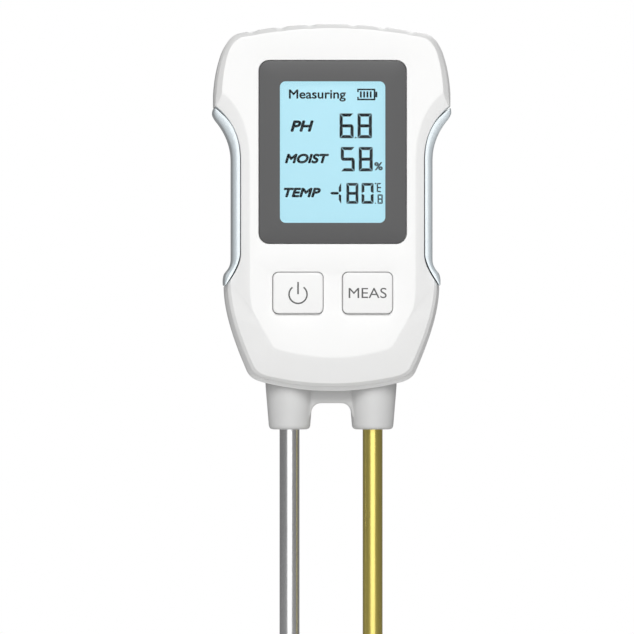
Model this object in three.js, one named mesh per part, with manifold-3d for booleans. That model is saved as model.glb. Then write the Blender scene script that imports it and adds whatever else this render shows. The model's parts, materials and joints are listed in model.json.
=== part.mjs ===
// Handheld two-probe soil meter: moisture, acidity and temperature, with a backlit display.
// Millimetres. +Z is up, +X is the reader's right and -Y is the display side. Z = 0 is the soil line
// between the two probes, and Y = 0 is the plane of the probe axes and of the housing's parting line.
import * as THREE from "three";
import { mergeVertices } from "three/addons/utils/BufferGeometryUtils.js";
import Module from "manifold-3d";

const wasm = await Module();
wasm.setup();

// ---------------------------------------------------------------- driving dimensions

const FIT = 0.3; // free gap between pieces that would touch
const SEAM = 0.15; // half the gap at the housing's parting line

const FRONT = -14; // the flat middle of the face
const BACK = 15; // the flat back
const FACE_WALL = 2.4;
const WALL = 2;
const INNER_FRONT = -8.6; // where the inner walls start to lean in towards the face
const INNER_BACK = 9.6; // the same towards the back

const PROBE_X = 10.45; // probe axes, either side of the middle
const PROBE_R = 2.5;
const PROBE_TIP = -178;
const PROBE_POINT = 8; // length of the pointed end
const STUD_R = 1.45;
const STUD_BOTTOM = 34.3;
const STUD_TOP = 45;
const COLLAR_BOTTOM = 20.5;
const HOLDER_TOP = 38;

const LENS = { w: 36.8, h: 45.7, r: 2.6, z: 90, front: -13.85, back: -12.45 };
const LCD = { w: 34, h: 43, z: 90, front: -11.2, back: -9.1 };
const BOARD = { front: -6.4, back: -4.8, top: 117, bottom: 44, half: 19.4, neckHalf: 14.8, neckTop: 53 };

const BUTTON = { w: 12.4, h: 10.2, r: 1.35, x: 8.7, z: 54.75, front: -15.2, travel: 0.6 };

const CELL = { r: 5.25, length: 44.5, x: 5.6, y: 7.45, nubR: 1.9, nub: 1 };
const BAY = { half: 11.4, low: 54, high: 105, floor: 1.9 };
const COVER = { half: 12.9, low: 51, high: 108, back: 14.9, front: 13.4 };

const SCREW_POSTS = [
  [23.2, 112],
  [19.3, 47.6],
];
const BOARD_POSTS = [
  [14, 115.8],
  [16.3, 63.4],
];
const GRIP_SCALLOPS = [5.4, 12.6, 19.8];

// ---------------------------------------------------------------- materials

function material(color, roughness, metalness = 0) {
  return new THREE.MeshStandardMaterial({ color, roughness, metalness });
}

const whiteShell = material(0xf2f2f1, 0.4);
const buttonWhite = material(0xf6f6f5, 0.38);
const gripSilver = material(0xaab8bf, 0.25, 0.55);
const lensGrey = material(0x5f6061, 0.12);
const lcdBlue = material(0xb4e4f5, 0.3);
const diffuserWhite = material(0xe8f4f8, 0.5);
const foamBlack = material(0x1c1c1e, 0.8);
const rubberBlack = material(0x202022, 0.7);
const boardGreen = material(0x1f5a34, 0.45);
const chipBlack = material(0x18181a, 0.5);
const switchBlack = material(0x242426, 0.5);
const framePlastic = material(0xdcdcd8, 0.5);
const steel = material(0xb9bbbe, 0.22, 1);
const brass = material(0xb5a13c, 0.25, 1);
const springSteel = material(0xa8aaad, 0.3, 1);
const copperTin = material(0xc2bfb4, 0.3, 1);
const cellJacket = material(0x2d5f86, 0.35);
const redInsulation = material(0xb3261e, 0.5);
const blackInsulation = material(0x1a1a1a, 0.5);
const yellowInsulation = material(0xd6b32a, 0.5);

// ---------------------------------------------------------------- solids

function toSolid(geometry) {
  const bare = geometry.index ? geometry.toNonIndexed() : geometry.clone();
  const position = new THREE.BufferGeometry().setAttribute("position", bare.getAttribute("position"));
  const merged = mergeVertices(position, 1e-4);
  return new wasm.Manifold(
    new wasm.Mesh({
      numProp: 3,
      vertProperties: merged.getAttribute("position").array,
      triVerts: new Uint32Array(merged.index.array),
    }),
  );
}

function toGeometry(solid) {
  const mesh = solid.getMesh();
  const geometry = new THREE.BufferGeometry();
  geometry.setAttribute("position", new THREE.BufferAttribute(mesh.vertProperties, 3));
  geometry.setIndex(new THREE.BufferAttribute(mesh.triVerts, 1));
  geometry.computeVertexNormals();
  return geometry;
}

const add = (first, ...rest) => rest.reduce((sum, next) => sum.add(next), first);
const cut = (first, ...rest) => rest.reduce((left, next) => left.subtract(next), first);

function box(x0, x1, y0, y1, z0, z1) {
  const geometry = new THREE.BoxGeometry(x1 - x0, y1 - y0, z1 - z0);
  return toSolid(geometry.translate((x0 + x1) / 2, (y0 + y1) / 2, (z0 + z1) / 2));
}

// A round bar along Y.
function barY(r, y0, y1, x, z, sides = 20) {
  return toSolid(new THREE.CylinderGeometry(r, r, y1 - y0, sides).translate(x, (y0 + y1) / 2, z));
}

// A profile of [radius, z] pairs turned about a vertical axis.
function turned(profile, x, y, sides = 20) {
  const points = profile.map(([r, z]) => new THREE.Vector2(r, z));
  return toSolid(new THREE.LatheGeometry(points, sides).rotateX(Math.PI / 2).translate(x, y, 0));
}

// A flat shape drawn in X and Z, given thickness from y0 to y1.
function slabY(shape, y0, y1, curveSegments = 3) {
  const options = { depth: y1 - y0, bevelEnabled: false, curveSegments };
  return toSolid(new THREE.ExtrudeGeometry(shape, options).rotateX(Math.PI / 2).translate(0, y1, 0));
}

function roundedRect(w, h, r, cx, cz) {
  const shape = new THREE.Shape();
  shape.absarc(cx + w / 2 - r, cz + h / 2 - r, r, 0, Math.PI / 2);
  shape.absarc(cx - w / 2 + r, cz + h / 2 - r, r, Math.PI / 2, Math.PI);
  shape.absarc(cx - w / 2 + r, cz - h / 2 + r, r, Math.PI, Math.PI * 1.5);
  shape.absarc(cx + w / 2 - r, cz - h / 2 + r, r, Math.PI * 1.5, Math.PI * 2);
  return shape;
}

// A round section swept along a smooth curve through the given points.
function sweep(curve, r, steps, halfSides) {
  const section = new THREE.Shape().absarc(0, 0, r, 0, Math.PI * 2);
  const options = { extrudePath: curve, steps, curveSegments: halfSides, bevelEnabled: false };
  return toSolid(new THREE.ExtrudeGeometry(section, options));
}

function wire(points, r) {
  const curve = new THREE.CatmullRomCurve3(points.map((p) => new THREE.Vector3(...p)));
  return sweep(curve, r, 10, 4);
}

// The triangles that fill a ring, turning the way its points run.
function capFaces(ring) {
  const outline = ring.map((p) => new THREE.Vector2(p.x, p.z));
  const faces = THREE.ShapeUtils.triangulateShape(outline, []);
  return THREE.ShapeUtils.isClockWise(outline) ? faces.map(([a, b, c]) => [c, b, a]) : faces;
}

// A solid skinned over closed rings of equal length and capped flat at both ends.
function loft(rings) {
  const count = rings[0].length;
  const faces = capFaces(rings[0]).map(([a, b, c]) => [c, b, a]);
  for (let row = 0; row + 1 < rings.length; row++) {
    for (let i = 0; i < count; i++) {
      const a = row * count + i;
      const b = row * count + ((i + 1) % count);
      faces.push([a, b, a + count], [b, b + count, a + count]);
    }
  }
  const last = (rings.length - 1) * count;
  faces.push(...capFaces(rings.at(-1)).map((face) => face.map((i) => last + i)));
  const skin = (list) => new THREE.BufferGeometry().setFromPoints(rings.flat()).setIndex(list.flat());
  const solid = toSolid(skin(faces));
  return solid.volume() > 0 ? solid : toSolid(skin(faces.map(([a, b, c]) => [c, b, a])));
}

// ---------------------------------------------------------------- housing outlines

// Half an outline in X and Z, from top middle to bottom middle. Each row after the start is one stretch:
// a curve's control point and end point. All outlines have the same ten stretches, so they can be skinned.
const STRETCH_STEPS = [5, 3, 3, 1, 5, 1, 3, 4, 2, 5];

const WALL_LINE = [
  [0, 122.1],
  [11.5, 122.1, 23.2, 119.75], // crown
  [25.9, 119.2, 27.6, 115], // shoulder
  [29.3, 110.2, 29.6, 104.6], // upper side
  [29.6, 103, 29.55, 101.4], // down to the grip's top point
  [23, 96.4, 23, 88], // into the waist
  [23, 76, 23, 64.5], // waist
  [23, 61.3, 26.9, 56.3], // out of the waist
  [26.9, 48.4, 21.1, 35.2], // flank
  [20.2, 33.1, 17.2, 32.35], // heel
  [8.6, 30.2, 0, 30.2], // base
];

const EDGE_LINE = [
  [0, 121.6],
  [11.4, 121.6, 22.9, 119.3],
  [25.5, 118.7, 27.1, 114.8],
  [28.75, 110, 29.05, 104.6],
  [29.2, 103, 29.3, 101.45],
  [22.95, 96.4, 22.95, 88],
  [22.95, 76, 22.95, 64.5],
  [22.95, 61.6, 26.2, 57.25],
  [26.3, 48.9, 20.3, 35.9],
  [19.4, 34.1, 16.6, 33.35],
  [8.4, 31.3, 0, 31.3],
];

const FACET_LINE = [
  [0, 121],
  [11.4, 121, 22.45, 118.72],
  [25, 118.1, 26.2, 114.65],
  [27.55, 110, 27.7, 104.8],
  [28.2, 103, 29.1, 101.5],
  [22.85, 96.4, 22.85, 88],
  [22.85, 76, 22.85, 64.5],
  [22.85, 61.8, 25.5, 58.1],
  [25.6, 49, 19.4, 36],
  [18.6, 34.7, 16.2, 34],
  [8.2, 32.15, 0, 32.15],
];

const PLATEAU_LINE = [
  [0, 120.9],
  [11.4, 120.9, 22.4, 118.6],
  [24.9, 118, 26.1, 114.6],
  [27.4, 110, 27.6, 104.75],
  [27.3, 104.5, 26.9, 104.2],
  [20.7, 98.9, 20.7, 86.5],
  [20.7, 76, 20.7, 56.5],
  [20.7, 52.4, 19.9, 50],
  [17.6, 46, 15.3, 42],
  [14.5, 40.65, 12.5, 40.3],
  [6.3, 38.6, 0, 38.6],
];

const INNER_LINE = [
  [0, 120.1],
  [11.2, 120.1, 22.4, 117.8],
  [24.6, 117.3, 25.8, 114.2],
  [27.3, 109.5, 27.6, 104.5],
  [27.6, 103.4, 27.2, 102.3],
  [21, 97.2, 21, 88],
  [21, 76, 21, 64.5],
  [21, 61, 24.7, 56],
  [24.9, 49, 19.5, 36.6],
  [18.8, 34.8, 16.6, 34.3],
  [8.4, 32.2, 0, 32.2],
];

const FACE_BACK_LINE = [
  [0, 119.5],
  [11, 119.5, 21.8, 117.3],
  [23.9, 116.8, 25, 114],
  [26.2, 109.5, 26.4, 104.2],
  [26.2, 103.4, 25.6, 102.6],
  [19.7, 97, 19.7, 86.5],
  [19.7, 76, 19.7, 56.5],
  [19.7, 52.8, 18.9, 50.6],
  [16.8, 46.6, 14.6, 42.8],
  [13.9, 41.6, 12.1, 41.3],
  [6.2, 39.6, 0, 39.6],
];

const BACK_EDGE_LINE = [
  [0, 120.9],
  [11, 120.9, 22.5, 118.6],
  [25, 118, 26.4, 114.4],
  [28, 109.8, 28.3, 104.4],
  [28.3, 103, 28, 101.5],
  [22.2, 96.6, 22.2, 88],
  [22.2, 76, 22.2, 64.5],
  [22.2, 61.2, 25.7, 56.4],
  [25.6, 48.8, 19.9, 36.3],
  [19.1, 34.5, 16.6, 33.7],
  [8.2, 31.5, 0, 31.5],
];

const BACK_FLAT_LINE = [
  [0, 118.1],
  [10, 118.1, 20.6, 116],
  [22.6, 115.6, 23.6, 112.8],
  [25, 108.8, 25.3, 103.6],
  [25.2, 102, 24.6, 100.6],
  [20, 96, 20, 87],
  [20, 76, 20, 64],
  [20, 60, 22.4, 56],
  [22.6, 49, 17.6, 38.8],
  [16.8, 37, 14.4, 36.4],
  [7, 34.6, 0, 34.6],
];

const BACK_INNER_LINE = [
  [0, 118],
  [10, 118, 20.4, 115.8],
  [22.4, 115.4, 23.4, 112.6],
  [24.6, 108.6, 24.9, 103.4],
  [24.8, 102, 24.2, 100.8],
  [19.3, 96.2, 19.3, 87],
  [19.3, 76, 19.3, 64],
  [19.3, 60.2, 22, 56],
  [22.2, 49, 17.4, 39],
  [16.6, 37.4, 14.2, 36.8],
  [7, 35, 0, 35],
];

// How far back the face's lines lie: the facet by its slope from the flat face, the other two behind the
// line before them, at their eleven ends of stretches. The rear half's lines have depths of their own.
const FACET_SLOPE = 0.5;
const EDGE_DROP = [0.9, 1, 1.4, 1.7, 0.35, 0.3, 0.3, 0.7, 0.8, 0.85, 0.85];
const WALL_DROP = [1, 1, 1.3, 1.6, 1, 0.4, 0.4, 2.6, 3, 2.3, 2.2];
const BACK_WALL_DEPTHS = [9, 9, 9, 9, 11.4, 12.4, 12.4, 9.8, 9, 9, 9];
const BACK_EDGE_DEPTHS = [12.9, 12.9, 12.9, 12.9, 13.3, 13.6, 13.6, 13.1, 12.9, 12.9, 12.9];

const level = (y) => Array(STRETCH_STEPS.length + 1).fill(y);

function stretchPoints(line, steps) {
  const points = [new THREE.Vector2(...line[0])];
  line.slice(1).forEach(([controlX, controlZ, toX, toZ], i) => {
    const control = new THREE.Vector2(controlX, controlZ);
    const curve = new THREE.QuadraticBezierCurve(points.at(-1), control, new THREE.Vector2(toX, toZ));
    points.push(...curve.getPoints(steps[i]).slice(1));
  });
  return points;
}

// The depth at every point of an outline, easing from one end of a stretch to the next.
function easedDepths(depths) {
  const stretches = STRETCH_STEPS.map((count, i) =>
    Array.from({ length: count }, (_, step) => {
      const share = THREE.MathUtils.smoothstep(step + 1, 0, count);
      return THREE.MathUtils.lerp(depths[i], depths[i + 1], share);
    }),
  );
  return [depths[0], ...stretches.flat()];
}

// The closed ring of an outline: the given half in +X, then its mirror image.
function ring(line, depths) {
  const deep = easedDepths(depths);
  const half = stretchPoints(line, STRETCH_STEPS).map((p, i) => new THREE.Vector3(p.x, deep[i], p.y));
  const mirrored = half.slice(1, -1).reverse();
  return [...half, ...mirrored.map((p) => new THREE.Vector3(-p.x, p.y, p.z))];
}

// A ring that lies back from a level one by a constant slope.
function slopedBack(line, nearer, slope) {
  return ring(line, level(nearer[0].y)).map((p) => {
    const gaps = nearer.map((start, i) => {
      const side = new THREE.Line3(start, nearer[(i + 1) % nearer.length]);
      return side.closestPointToPoint(p, true, new THREE.Vector3()).distanceTo(p);
    });
    return new THREE.Vector3(p.x, p.y + Math.min(...gaps) * slope, p.z);
  });
}

// A ring set back from the one before it.
function behind(line, before, drops) {
  return ring(line, drops).map((p, i) => new THREE.Vector3(p.x, before[i].y + p.y, p.z));
}

// A ring between two others, with its own shares of the way across and of the way in depth.
function between(outer, inner, across, deep) {
  return outer.map((p, i) => {
    const q = inner[i];
    const x = THREE.MathUtils.lerp(p.x, q.x, across);
    const z = THREE.MathUtils.lerp(p.z, q.z, across);
    return new THREE.Vector3(x, THREE.MathUtils.lerp(p.y, q.y, deep), z);
  });
}

// ---------------------------------------------------------------- what both housing halves share

const bothSides = (points) => points.flatMap(([x, z]) => [[x, z], [-x, z]]);

// The mouth in the base that the probe holder stands in.
const holderMouth = () => box(-17.2, 17.2, -7, 7, 28, 34.9);

// Shallow grooves across the crown.
function scallops() {
  return GRIP_SCALLOPS.flatMap((x) => [x, -x]).map((x) => {
    const crown = 122.1 - 0.00437 * x * x;
    return barY(2, -20, 20, x, crown + 1.6, 24);
  });
}

// The groove at the parting line that traps a side grip's tongue.
function tongueGroove(side) {
  return slabY(tongueShape(side, 2.1, 0.4), -0.95, 0.95);
}

function tongueShape(side, depth, spare) {
  const shape = new THREE.Shape();
  shape.moveTo(side * (23 + spare), 66 - spare);
  shape.lineTo(side * (23 + spare), 86 + spare);
  shape.lineTo(side * (23 - depth), 86 + spare);
  shape.lineTo(side * (23 - depth), 66 - spare);
  return shape;
}

// ---------------------------------------------------------------- housing

function frontShell() {
  const plateau = ring(PLATEAU_LINE, level(FRONT));
  const facet = slopedBack(FACET_LINE, plateau, FACET_SLOPE);
  const edge = behind(EDGE_LINE, facet, EDGE_DROP);
  const wall = behind(WALL_LINE, edge, WALL_DROP);
  const outside = loft([ring(WALL_LINE, level(-SEAM)), wall, edge, facet, plateau]);
  const inside = loft([
    ring(INNER_LINE, level(1)),
    ring(INNER_LINE, level(INNER_FRONT)),
    ring(FACE_BACK_LINE, level(FRONT + FACE_WALL)),
  ]);
  const screwPosts = bothSides(SCREW_POSTS).map(([x, z]) => barY(2.8, -12.2, -SEAM, x, z));
  const boardPosts = bothSides(BOARD_POSTS).map(([x, z]) => barY(2, -12.2, BOARD.front - FIT, x, z, 16));
  const pilots = bothSides(SCREW_POSTS).map(([x, z]) => barY(1.4, -9, 1, x, z, 16));
  const boardPilots = bothSides(BOARD_POSTS).map(([x, z]) => barY(1.05, -11, -5, x, z, 12));
  const buttonHoles = [-1, 1].map((side) =>
    slabY(roundedRect(BUTTON.w + 0.5, BUTTON.h + 0.5, 1.5, side * BUTTON.x, BUTTON.z), -16, -10),
  );
  return cut(
    add(cut(outside, inside), ...screwPosts, ...boardPosts),
    slabY(roundedRect(LENS.w + FIT, LENS.h + FIT, LENS.r + 0.1, 0, LENS.z), -16, LENS.back + 0.15),
    slabY(roundedRect(30, 39, 1.5, 0, LENS.z), -16, -10),
    ...buttonHoles,
    ...pilots,
    ...boardPilots,
    holderMouth(),
    tongueGroove(1),
    tongueGroove(-1),
    ...scallops(),
  );
}

// Slots under the rear wall for the battery cover's two lower hooks.
const hookSlots = () => [-1, 1].map((side) => box(side * 7 - 2.4, side * 7 + 2.4, 11.4, 13.3, 48.9, 54.2));

// Slots for the solder tabs of the two lower battery contacts.
const tabSlots = () => [-1, 1].map((side) => box(side * 9 - 1.5, side * 9 + 1.5, 3, 4.4, 52, 54.5));

function rearShell() {
  const wall = ring(WALL_LINE, BACK_WALL_DEPTHS);
  const edge = ring(BACK_EDGE_LINE, BACK_EDGE_DEPTHS);
  const flat = ring(BACK_FLAT_LINE, level(BACK));
  const outside = loft([
    ring(WALL_LINE, level(SEAM)),
    wall,
    between(wall, edge, 0.3, 0.55),
    edge,
    between(edge, flat, 0.45, 0.72),
    flat,
  ]);
  const inside = loft([
    ring(INNER_LINE, level(-1)),
    ring(INNER_LINE, level(INNER_BACK)),
    ring(BACK_INNER_LINE, level(BACK - WALL)),
  ]);
  const screwPosts = bothSides(SCREW_POSTS).map(([x, z]) => barY(3.4, SEAM, 13.5, x, z));
  const rim = box(-COVER.half - 1.8, COVER.half + 1.8, 11.7, 14, COVER.low - 1.7, COVER.high + 1.8);
  const bay = box(-BAY.half - 1.5, BAY.half + 1.5, BAY.floor - 1.5, 13.2, BAY.low - 1.5, BAY.high + 1.5);
  const shanks = bothSides(SCREW_POSTS).map(([x, z]) => barY(1.5, -1, 16, x, z, 16));
  const headWells = bothSides(SCREW_POSTS).map(([x, z]) => barY(2.5, 5, 16, x, z, 20));
  return cut(
    add(cut(outside, inside), ...screwPosts, rim, bay),
    box(-COVER.half - 0.25, COVER.half + 0.25, 13.2, 16, COVER.low - 0.2, COVER.high + 0.3),
    box(-BAY.half, BAY.half, BAY.floor, 14, BAY.low, BAY.high),
    ...hookSlots(),
    ...tabSlots(),
    ...shanks,
    ...headWells,
    holderMouth(),
    tongueGroove(1),
    tongueGroove(-1),
    ...scallops(),
  );
}

// A side grip: its inner line hugs the waist, and its outer line is the silhouette.
const GRIP_STEPS = [1, 2, 6, 1, 2, 2];

const GRIP_OUTER = [
  [29.6, 101.05],
  [29.95, 100.6, 29.8, 99.8],
  [29.5, 98.7, 28.6, 97.7],
  [25.1, 93.2, 25.1, 88],
  [25.1, 75, 25.1, 63.2],
  [25.1, 61.5, 26.3, 60.2],
  [27.3, 59.2, 27.05, 56.75],
];

const GRIP_INNER = [
  [29.5, 100.95],
  [29.2, 100.7, 28.9, 100.45],
  [28.3, 99.95, 27.8, 99.45],
  [23.3, 95.7, 23.3, 88],
  [23.3, 75, 23.3, 64.5],
  [23.3, 62.9, 24.8, 60.1],
  [25.8, 58.4, 26.98, 56.7],
];

const GRIP_LEVELS = [
  [-12.6, 0.2],
  [-12.2, 0.5],
  [-11.3, 0.8],
  [-9.6, 1],
  [9.4, 1],
  [11.2, 0.8],
  [12.2, 0.2],
];

function sideGrip(side) {
  const outer = stretchPoints(GRIP_OUTER, GRIP_STEPS);
  const inner = stretchPoints(GRIP_INNER, GRIP_STEPS);
  const rings = GRIP_LEVELS.map(([y, share]) => {
    const skin = outer.map((p, i) => inner[i].clone().lerp(p, share));
    const loop = [...skin, ...inner.slice().reverse()];
    return loop.map((p) => new THREE.Vector3(side * p.x, y, p.y));
  });
  return add(loft(rings), slabY(tongueShape(side, 1.6, 0), -0.6, 0.6), gripRoot(side));
}

// Joins the tongue to the grip across the small gap at the waist.
function gripRoot(side) {
  const middle = side * 23.25;
  return box(middle - 0.75, middle + 0.75, -0.6, 0.6, 66, 86);
}

function batteryCover() {
  const plate = slabY(
    roundedRect(2 * COVER.half, COVER.high - COVER.low, 1.2, 0, (COVER.high + COVER.low) / 2),
    COVER.front,
    COVER.back,
  );
  const hooks = [-1, 1].flatMap((side) => [
    box(side * 7 - 2, side * 7 + 2, 12.1, 13.1, 49.6, 52.5),
    box(side * 7 - 2, side * 7 + 2, 12.1, 13.8, 51.3, 52.5),
  ]);
  const latchSlots = [-1, 1].map((side) => box(side * 4.2 - 0.4, side * 4.2 + 0.4, 13, 16, 101, 110));
  const ribs = [0, 1, 2, 3].map((i) => box(-2.6, 2.6, 14.5, 15, 102.4 + i * 1.3, 103 + i * 1.3));
  return add(cut(plate, ...latchSlots), ...hooks, ...ribs);
}

function housingScrew([x, z]) {
  const head = barY(2.1, 5.2, 6.7, x, z, 20);
  const shank = barY(1.1, -7.8, 5.3, x, z, 12);
  const levelSlot = box(x - 1.2, x + 1.2, 6.1, 7, z - 0.25, z + 0.25);
  const uprightSlot = box(x - 0.25, x + 0.25, 6.1, 7, z - 1.2, z + 1.2);
  return cut(add(head, shank), levelSlot, uprightSlot);
}

function boardScrew([x, z]) {
  const head = barY(1.7, BOARD.back + 0.15, BOARD.back + 1.2, x, z, 16);
  const shank = barY(0.8, -10, BOARD.back + 0.3, x, z, 10);
  return cut(add(head, shank), box(x - 1.1, x + 1.1, BOARD.back + 0.8, -3, z - 0.2, z + 0.2));
}

// ---------------------------------------------------------------- display

const displayLens = () => slabY(roundedRect(LENS.w, LENS.h, LENS.r, 0, LENS.z), LENS.front, LENS.back, 4);

// The foam frame between the lens and the display glass.
function displayGasket() {
  const outer = roundedRect(29.4, 38.4, 1.2, 0, LENS.z);
  outer.holes.push(roundedRect(27.4, 36.4, 0.6, 0, LENS.z));
  return slabY(outer, -12.3, -11.5, 3);
}

function lcdGlass() {
  const front = box(-LCD.w / 2, LCD.w / 2, LCD.front, -10.1, LCD.z - 19, LCD.z + LCD.h / 2);
  const rear = box(-LCD.w / 2, LCD.w / 2, -10.15, LCD.back, LCD.z - LCD.h / 2, LCD.z + LCD.h / 2);
  return add(front, rear);
}

function lcdFrame() {
  const body = box(-19, 19, -11.35, BOARD.front - 0.2, 66.5, 113.5);
  return cut(body, box(-17.2, 17.2, -12, -6, 68.3, 111.7));
}

const backlightPanel = () => box(-16.9, 16.9, -8.9, -6.8, 71.2, 111.4);
const zebraStrip = () => box(-15, 15, -8.95, -6.55, 68.6, 70.7);

function mainBoard() {
  const shape = new THREE.Shape();
  shape.moveTo(-BOARD.half, BOARD.top);
  shape.lineTo(-BOARD.half, BOARD.neckTop);
  shape.lineTo(-BOARD.neckHalf, BOARD.neckTop);
  shape.lineTo(-BOARD.neckHalf, BOARD.bottom);
  shape.lineTo(BOARD.neckHalf, BOARD.bottom);
  shape.lineTo(BOARD.neckHalf, BOARD.neckTop);
  shape.lineTo(BOARD.half, BOARD.neckTop);
  shape.lineTo(BOARD.half, BOARD.top);
  const holes = bothSides(BOARD_POSTS).map(([x, z]) => barY(1.1, -8, -3, x, z, 12));
  return cut(slabY(shape, BOARD.front, BOARD.back), ...holes);
}

const controllerChip = () => box(-5, 5, BOARD.back + 0.1, BOARD.back + 1.5, 86, 96);

// ---------------------------------------------------------------- buttons

const PLUNGER = { r: 1.6, front: -9.8, back: -8.2 };
const SWITCH_HALF = 3;

// A switch, bored deep enough for its plunger to go in by the button's travel.
function switchBody(side) {
  const x = side * BUTTON.x;
  const body = box(
    x - SWITCH_HALF,
    x + SWITCH_HALF,
    -9,
    BOARD.front - 0.1,
    BUTTON.z - SWITCH_HALF,
    BUTTON.z + SWITCH_HALF,
  );
  return cut(body, barY(PLUNGER.r + FIT, -10, PLUNGER.back + BUTTON.travel + 0.4, x, BUTTON.z, 16));
}

const switchPlunger = (side) => barY(PLUNGER.r, PLUNGER.front, PLUNGER.back, side * BUTTON.x, BUTTON.z, 16);

function button(side) {
  const x = side * BUTTON.x;
  return add(
    slabY(roundedRect(BUTTON.w, BUTTON.h, BUTTON.r, x, BUTTON.z), BUTTON.front + 0.4, -11),
    slabY(roundedRect(BUTTON.w - 0.7, BUTTON.h - 0.7, BUTTON.r - 0.3, x, BUTTON.z), BUTTON.front, -14),
    slabY(roundedRect(BUTTON.w + 1.6, BUTTON.h + 1.6, 1.5, x, BUTTON.z), -11.35, -10.6, 3),
    barY(1.5, -11, -10, x, BUTTON.z, 16),
  );
}

// ---------------------------------------------------------------- battery bay

// The left cell stands with its nub up and the right cell with its nub down.
const CELL_LOW = 59.5;

function cell(side) {
  const up = side < 0;
  const base = up ? CELL_LOW : BAY.low + BAY.high - CELL_LOW;
  const dir = up ? 1 : -1;
  const at = (r, along) => [r, base + dir * along];
  const shoulder = CELL.length - CELL.nub;
  const profile = [
    at(0, 0),
    at(CELL.r - 0.4, 0),
    at(CELL.r, 0.4),
    at(CELL.r, shoulder - 0.4),
    at(CELL.r - 0.4, shoulder),
    at(CELL.nubR, shoulder),
    at(CELL.nubR, CELL.length),
    at(0, CELL.length),
  ];
  return turned(up ? profile : profile.reverse(), side * CELL.x, CELL.y);
}

class ConeSpiral extends THREE.Curve {
  constructor(x, y, z0, z1, r0, r1, turns) {
    super();
    Object.assign(this, { x, y, z0, z1, r0, r1, turns });
  }

  getPoint(t, target = new THREE.Vector3()) {
    const angle = t * this.turns * Math.PI * 2;
    const r = THREE.MathUtils.lerp(this.r0, this.r1, t);
    const z = THREE.MathUtils.lerp(this.z0, this.z1, t);
    return target.set(this.x + r * Math.cos(angle), this.y + r * Math.sin(angle), z);
  }
}

function batterySpring(side) {
  const wireR = 0.32;
  const plateEnd = side < 0 ? BAY.low + 0.5 + wireR + 0.05 : BAY.high - 0.5 - wireR - 0.05;
  const cellEnd = side < 0 ? CELL_LOW - wireR - 0.1 : BAY.low + BAY.high - CELL_LOW + wireR + 0.1;
  const spiral = new ConeSpiral(side * CELL.x, CELL.y, plateEnd, cellEnd, 3.8, 2.4, 3);
  return sweep(spiral, wireR, 36, 3);
}

const linkPlate = () => box(-10.9, 10.9, 2.6, 12.4, BAY.high - 0.5, BAY.high - 0.1);

function endPlate(side) {
  const plate = box(side * CELL.x - 4.9, side * CELL.x + 4.9, 2.6, 12.4, BAY.low + 0.1, BAY.low + 0.5);
  const tab = box(side * 9 - 1, side * 9 + 1, 3.4, 3.8, 51, BAY.low + 0.3);
  return add(plate, tab);
}

const batteryLead = (side) =>
  wire(
    [
      [side * 9, 3.2, 50.4],
      [side * 9.4, 1.4, 49],
      [side * 10.6, -1.6, 49.4],
      [side * 11, -3.4, 52],
      [side * 11, -3.9, 55],
    ],
    0.6,
  );

// ---------------------------------------------------------------- probes

// The web between the two collars, and where its arch runs out into a collar, from its foot up.
const WEB_HALF = 2.4;
const WEB_LOW = 22.2;
const WEB_FOOT = [
  [7.2, WEB_LOW],
  [5.9, 22.9],
  [5.25, 23.9],
  [5.05, 24.65],
];

function probeHolder() {
  const skirtShape = new THREE.Shape();
  skirtShape.moveTo(-16.9, 36);
  skirtShape.lineTo(-16.9, 32.7);
  skirtShape.quadraticCurveTo(-8.4, 30.7, 0, 30.7);
  skirtShape.quadraticCurveTo(8.4, 30.7, 16.9, 32.7);
  skirtShape.lineTo(16.9, 36);
  const archShape = new THREE.Shape();
  archShape.moveTo(-WEB_FOOT[0][0], WEB_LOW - 1);
  for (const [x, z] of WEB_FOOT) archShape.lineTo(-x, z);
  archShape.absarc(-2.6, 24.65, 2.45, Math.PI, Math.PI / 2, true);
  archShape.absarc(2.6, 24.65, 2.45, Math.PI / 2, 0, true);
  for (const [x, z] of WEB_FOOT.toReversed()) archShape.lineTo(x, z);
  archShape.lineTo(WEB_FOOT[0][0], WEB_LOW - 1);
  const web = cut(
    box(-PROBE_X, PROBE_X, -WEB_HALF, WEB_HALF, WEB_LOW, 33),
    slabY(archShape, -WEB_HALF - 1, WEB_HALF + 1, 4),
  );
  const collarProfile = [
    [0, COLLAR_BOTTOM],
    [4.35, COLLAR_BOTTOM],
    [4.95, COLLAR_BOTTOM + 0.3],
    [5.2, COLLAR_BOTTOM + 0.9],
    [6.05, 31.6],
    [6.05, 36],
    [0, 36],
  ];
  const boreProfile = [
    [0, 19],
    [2.7, 19],
    [2.7, 24],
    [3, 24],
    [3, 34.6],
    [1.75, 34.6],
    [1.75, 39],
    [0, 39],
  ];
  const solid = add(
    slabY(skirtShape, -6.6, 6.6, 6),
    box(-18, 18, -8.2, 8.2, 35.2, HOLDER_TOP),
    web,
    turned(collarProfile, PROBE_X, 0, 24),
    turned(collarProfile, -PROBE_X, 0, 24),
  );
  return cut(solid, turned(boreProfile, PROBE_X, 0), turned(boreProfile, -PROBE_X, 0));
}

// The outside of a probe, from its point up to the top of its stud.
function probeSkin() {
  return [
    [0, PROBE_TIP],
    [0.7, PROBE_TIP + 0.5],
    [2.1, PROBE_TIP + PROBE_POINT - 2],
    [PROBE_R, PROBE_TIP + PROBE_POINT],
    [PROBE_R, 29.2],
    [1.85, 29.2],
    [1.85, 30.8],
    [PROBE_R, 30.8],
    [PROBE_R, STUD_BOTTOM],
    [STUD_R, STUD_BOTTOM],
    [STUD_R, STUD_TOP],
  ];
}

const goldProbe = () => turned([...probeSkin(), [0, STUD_TOP]], PROBE_X, 0);

// The silver probe is a tube, so that the temperature sensor can sit close to its point.
const SENSOR_WELL = PROBE_TIP + 12;
const SENSOR_BORE_R = 0.85;

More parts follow.
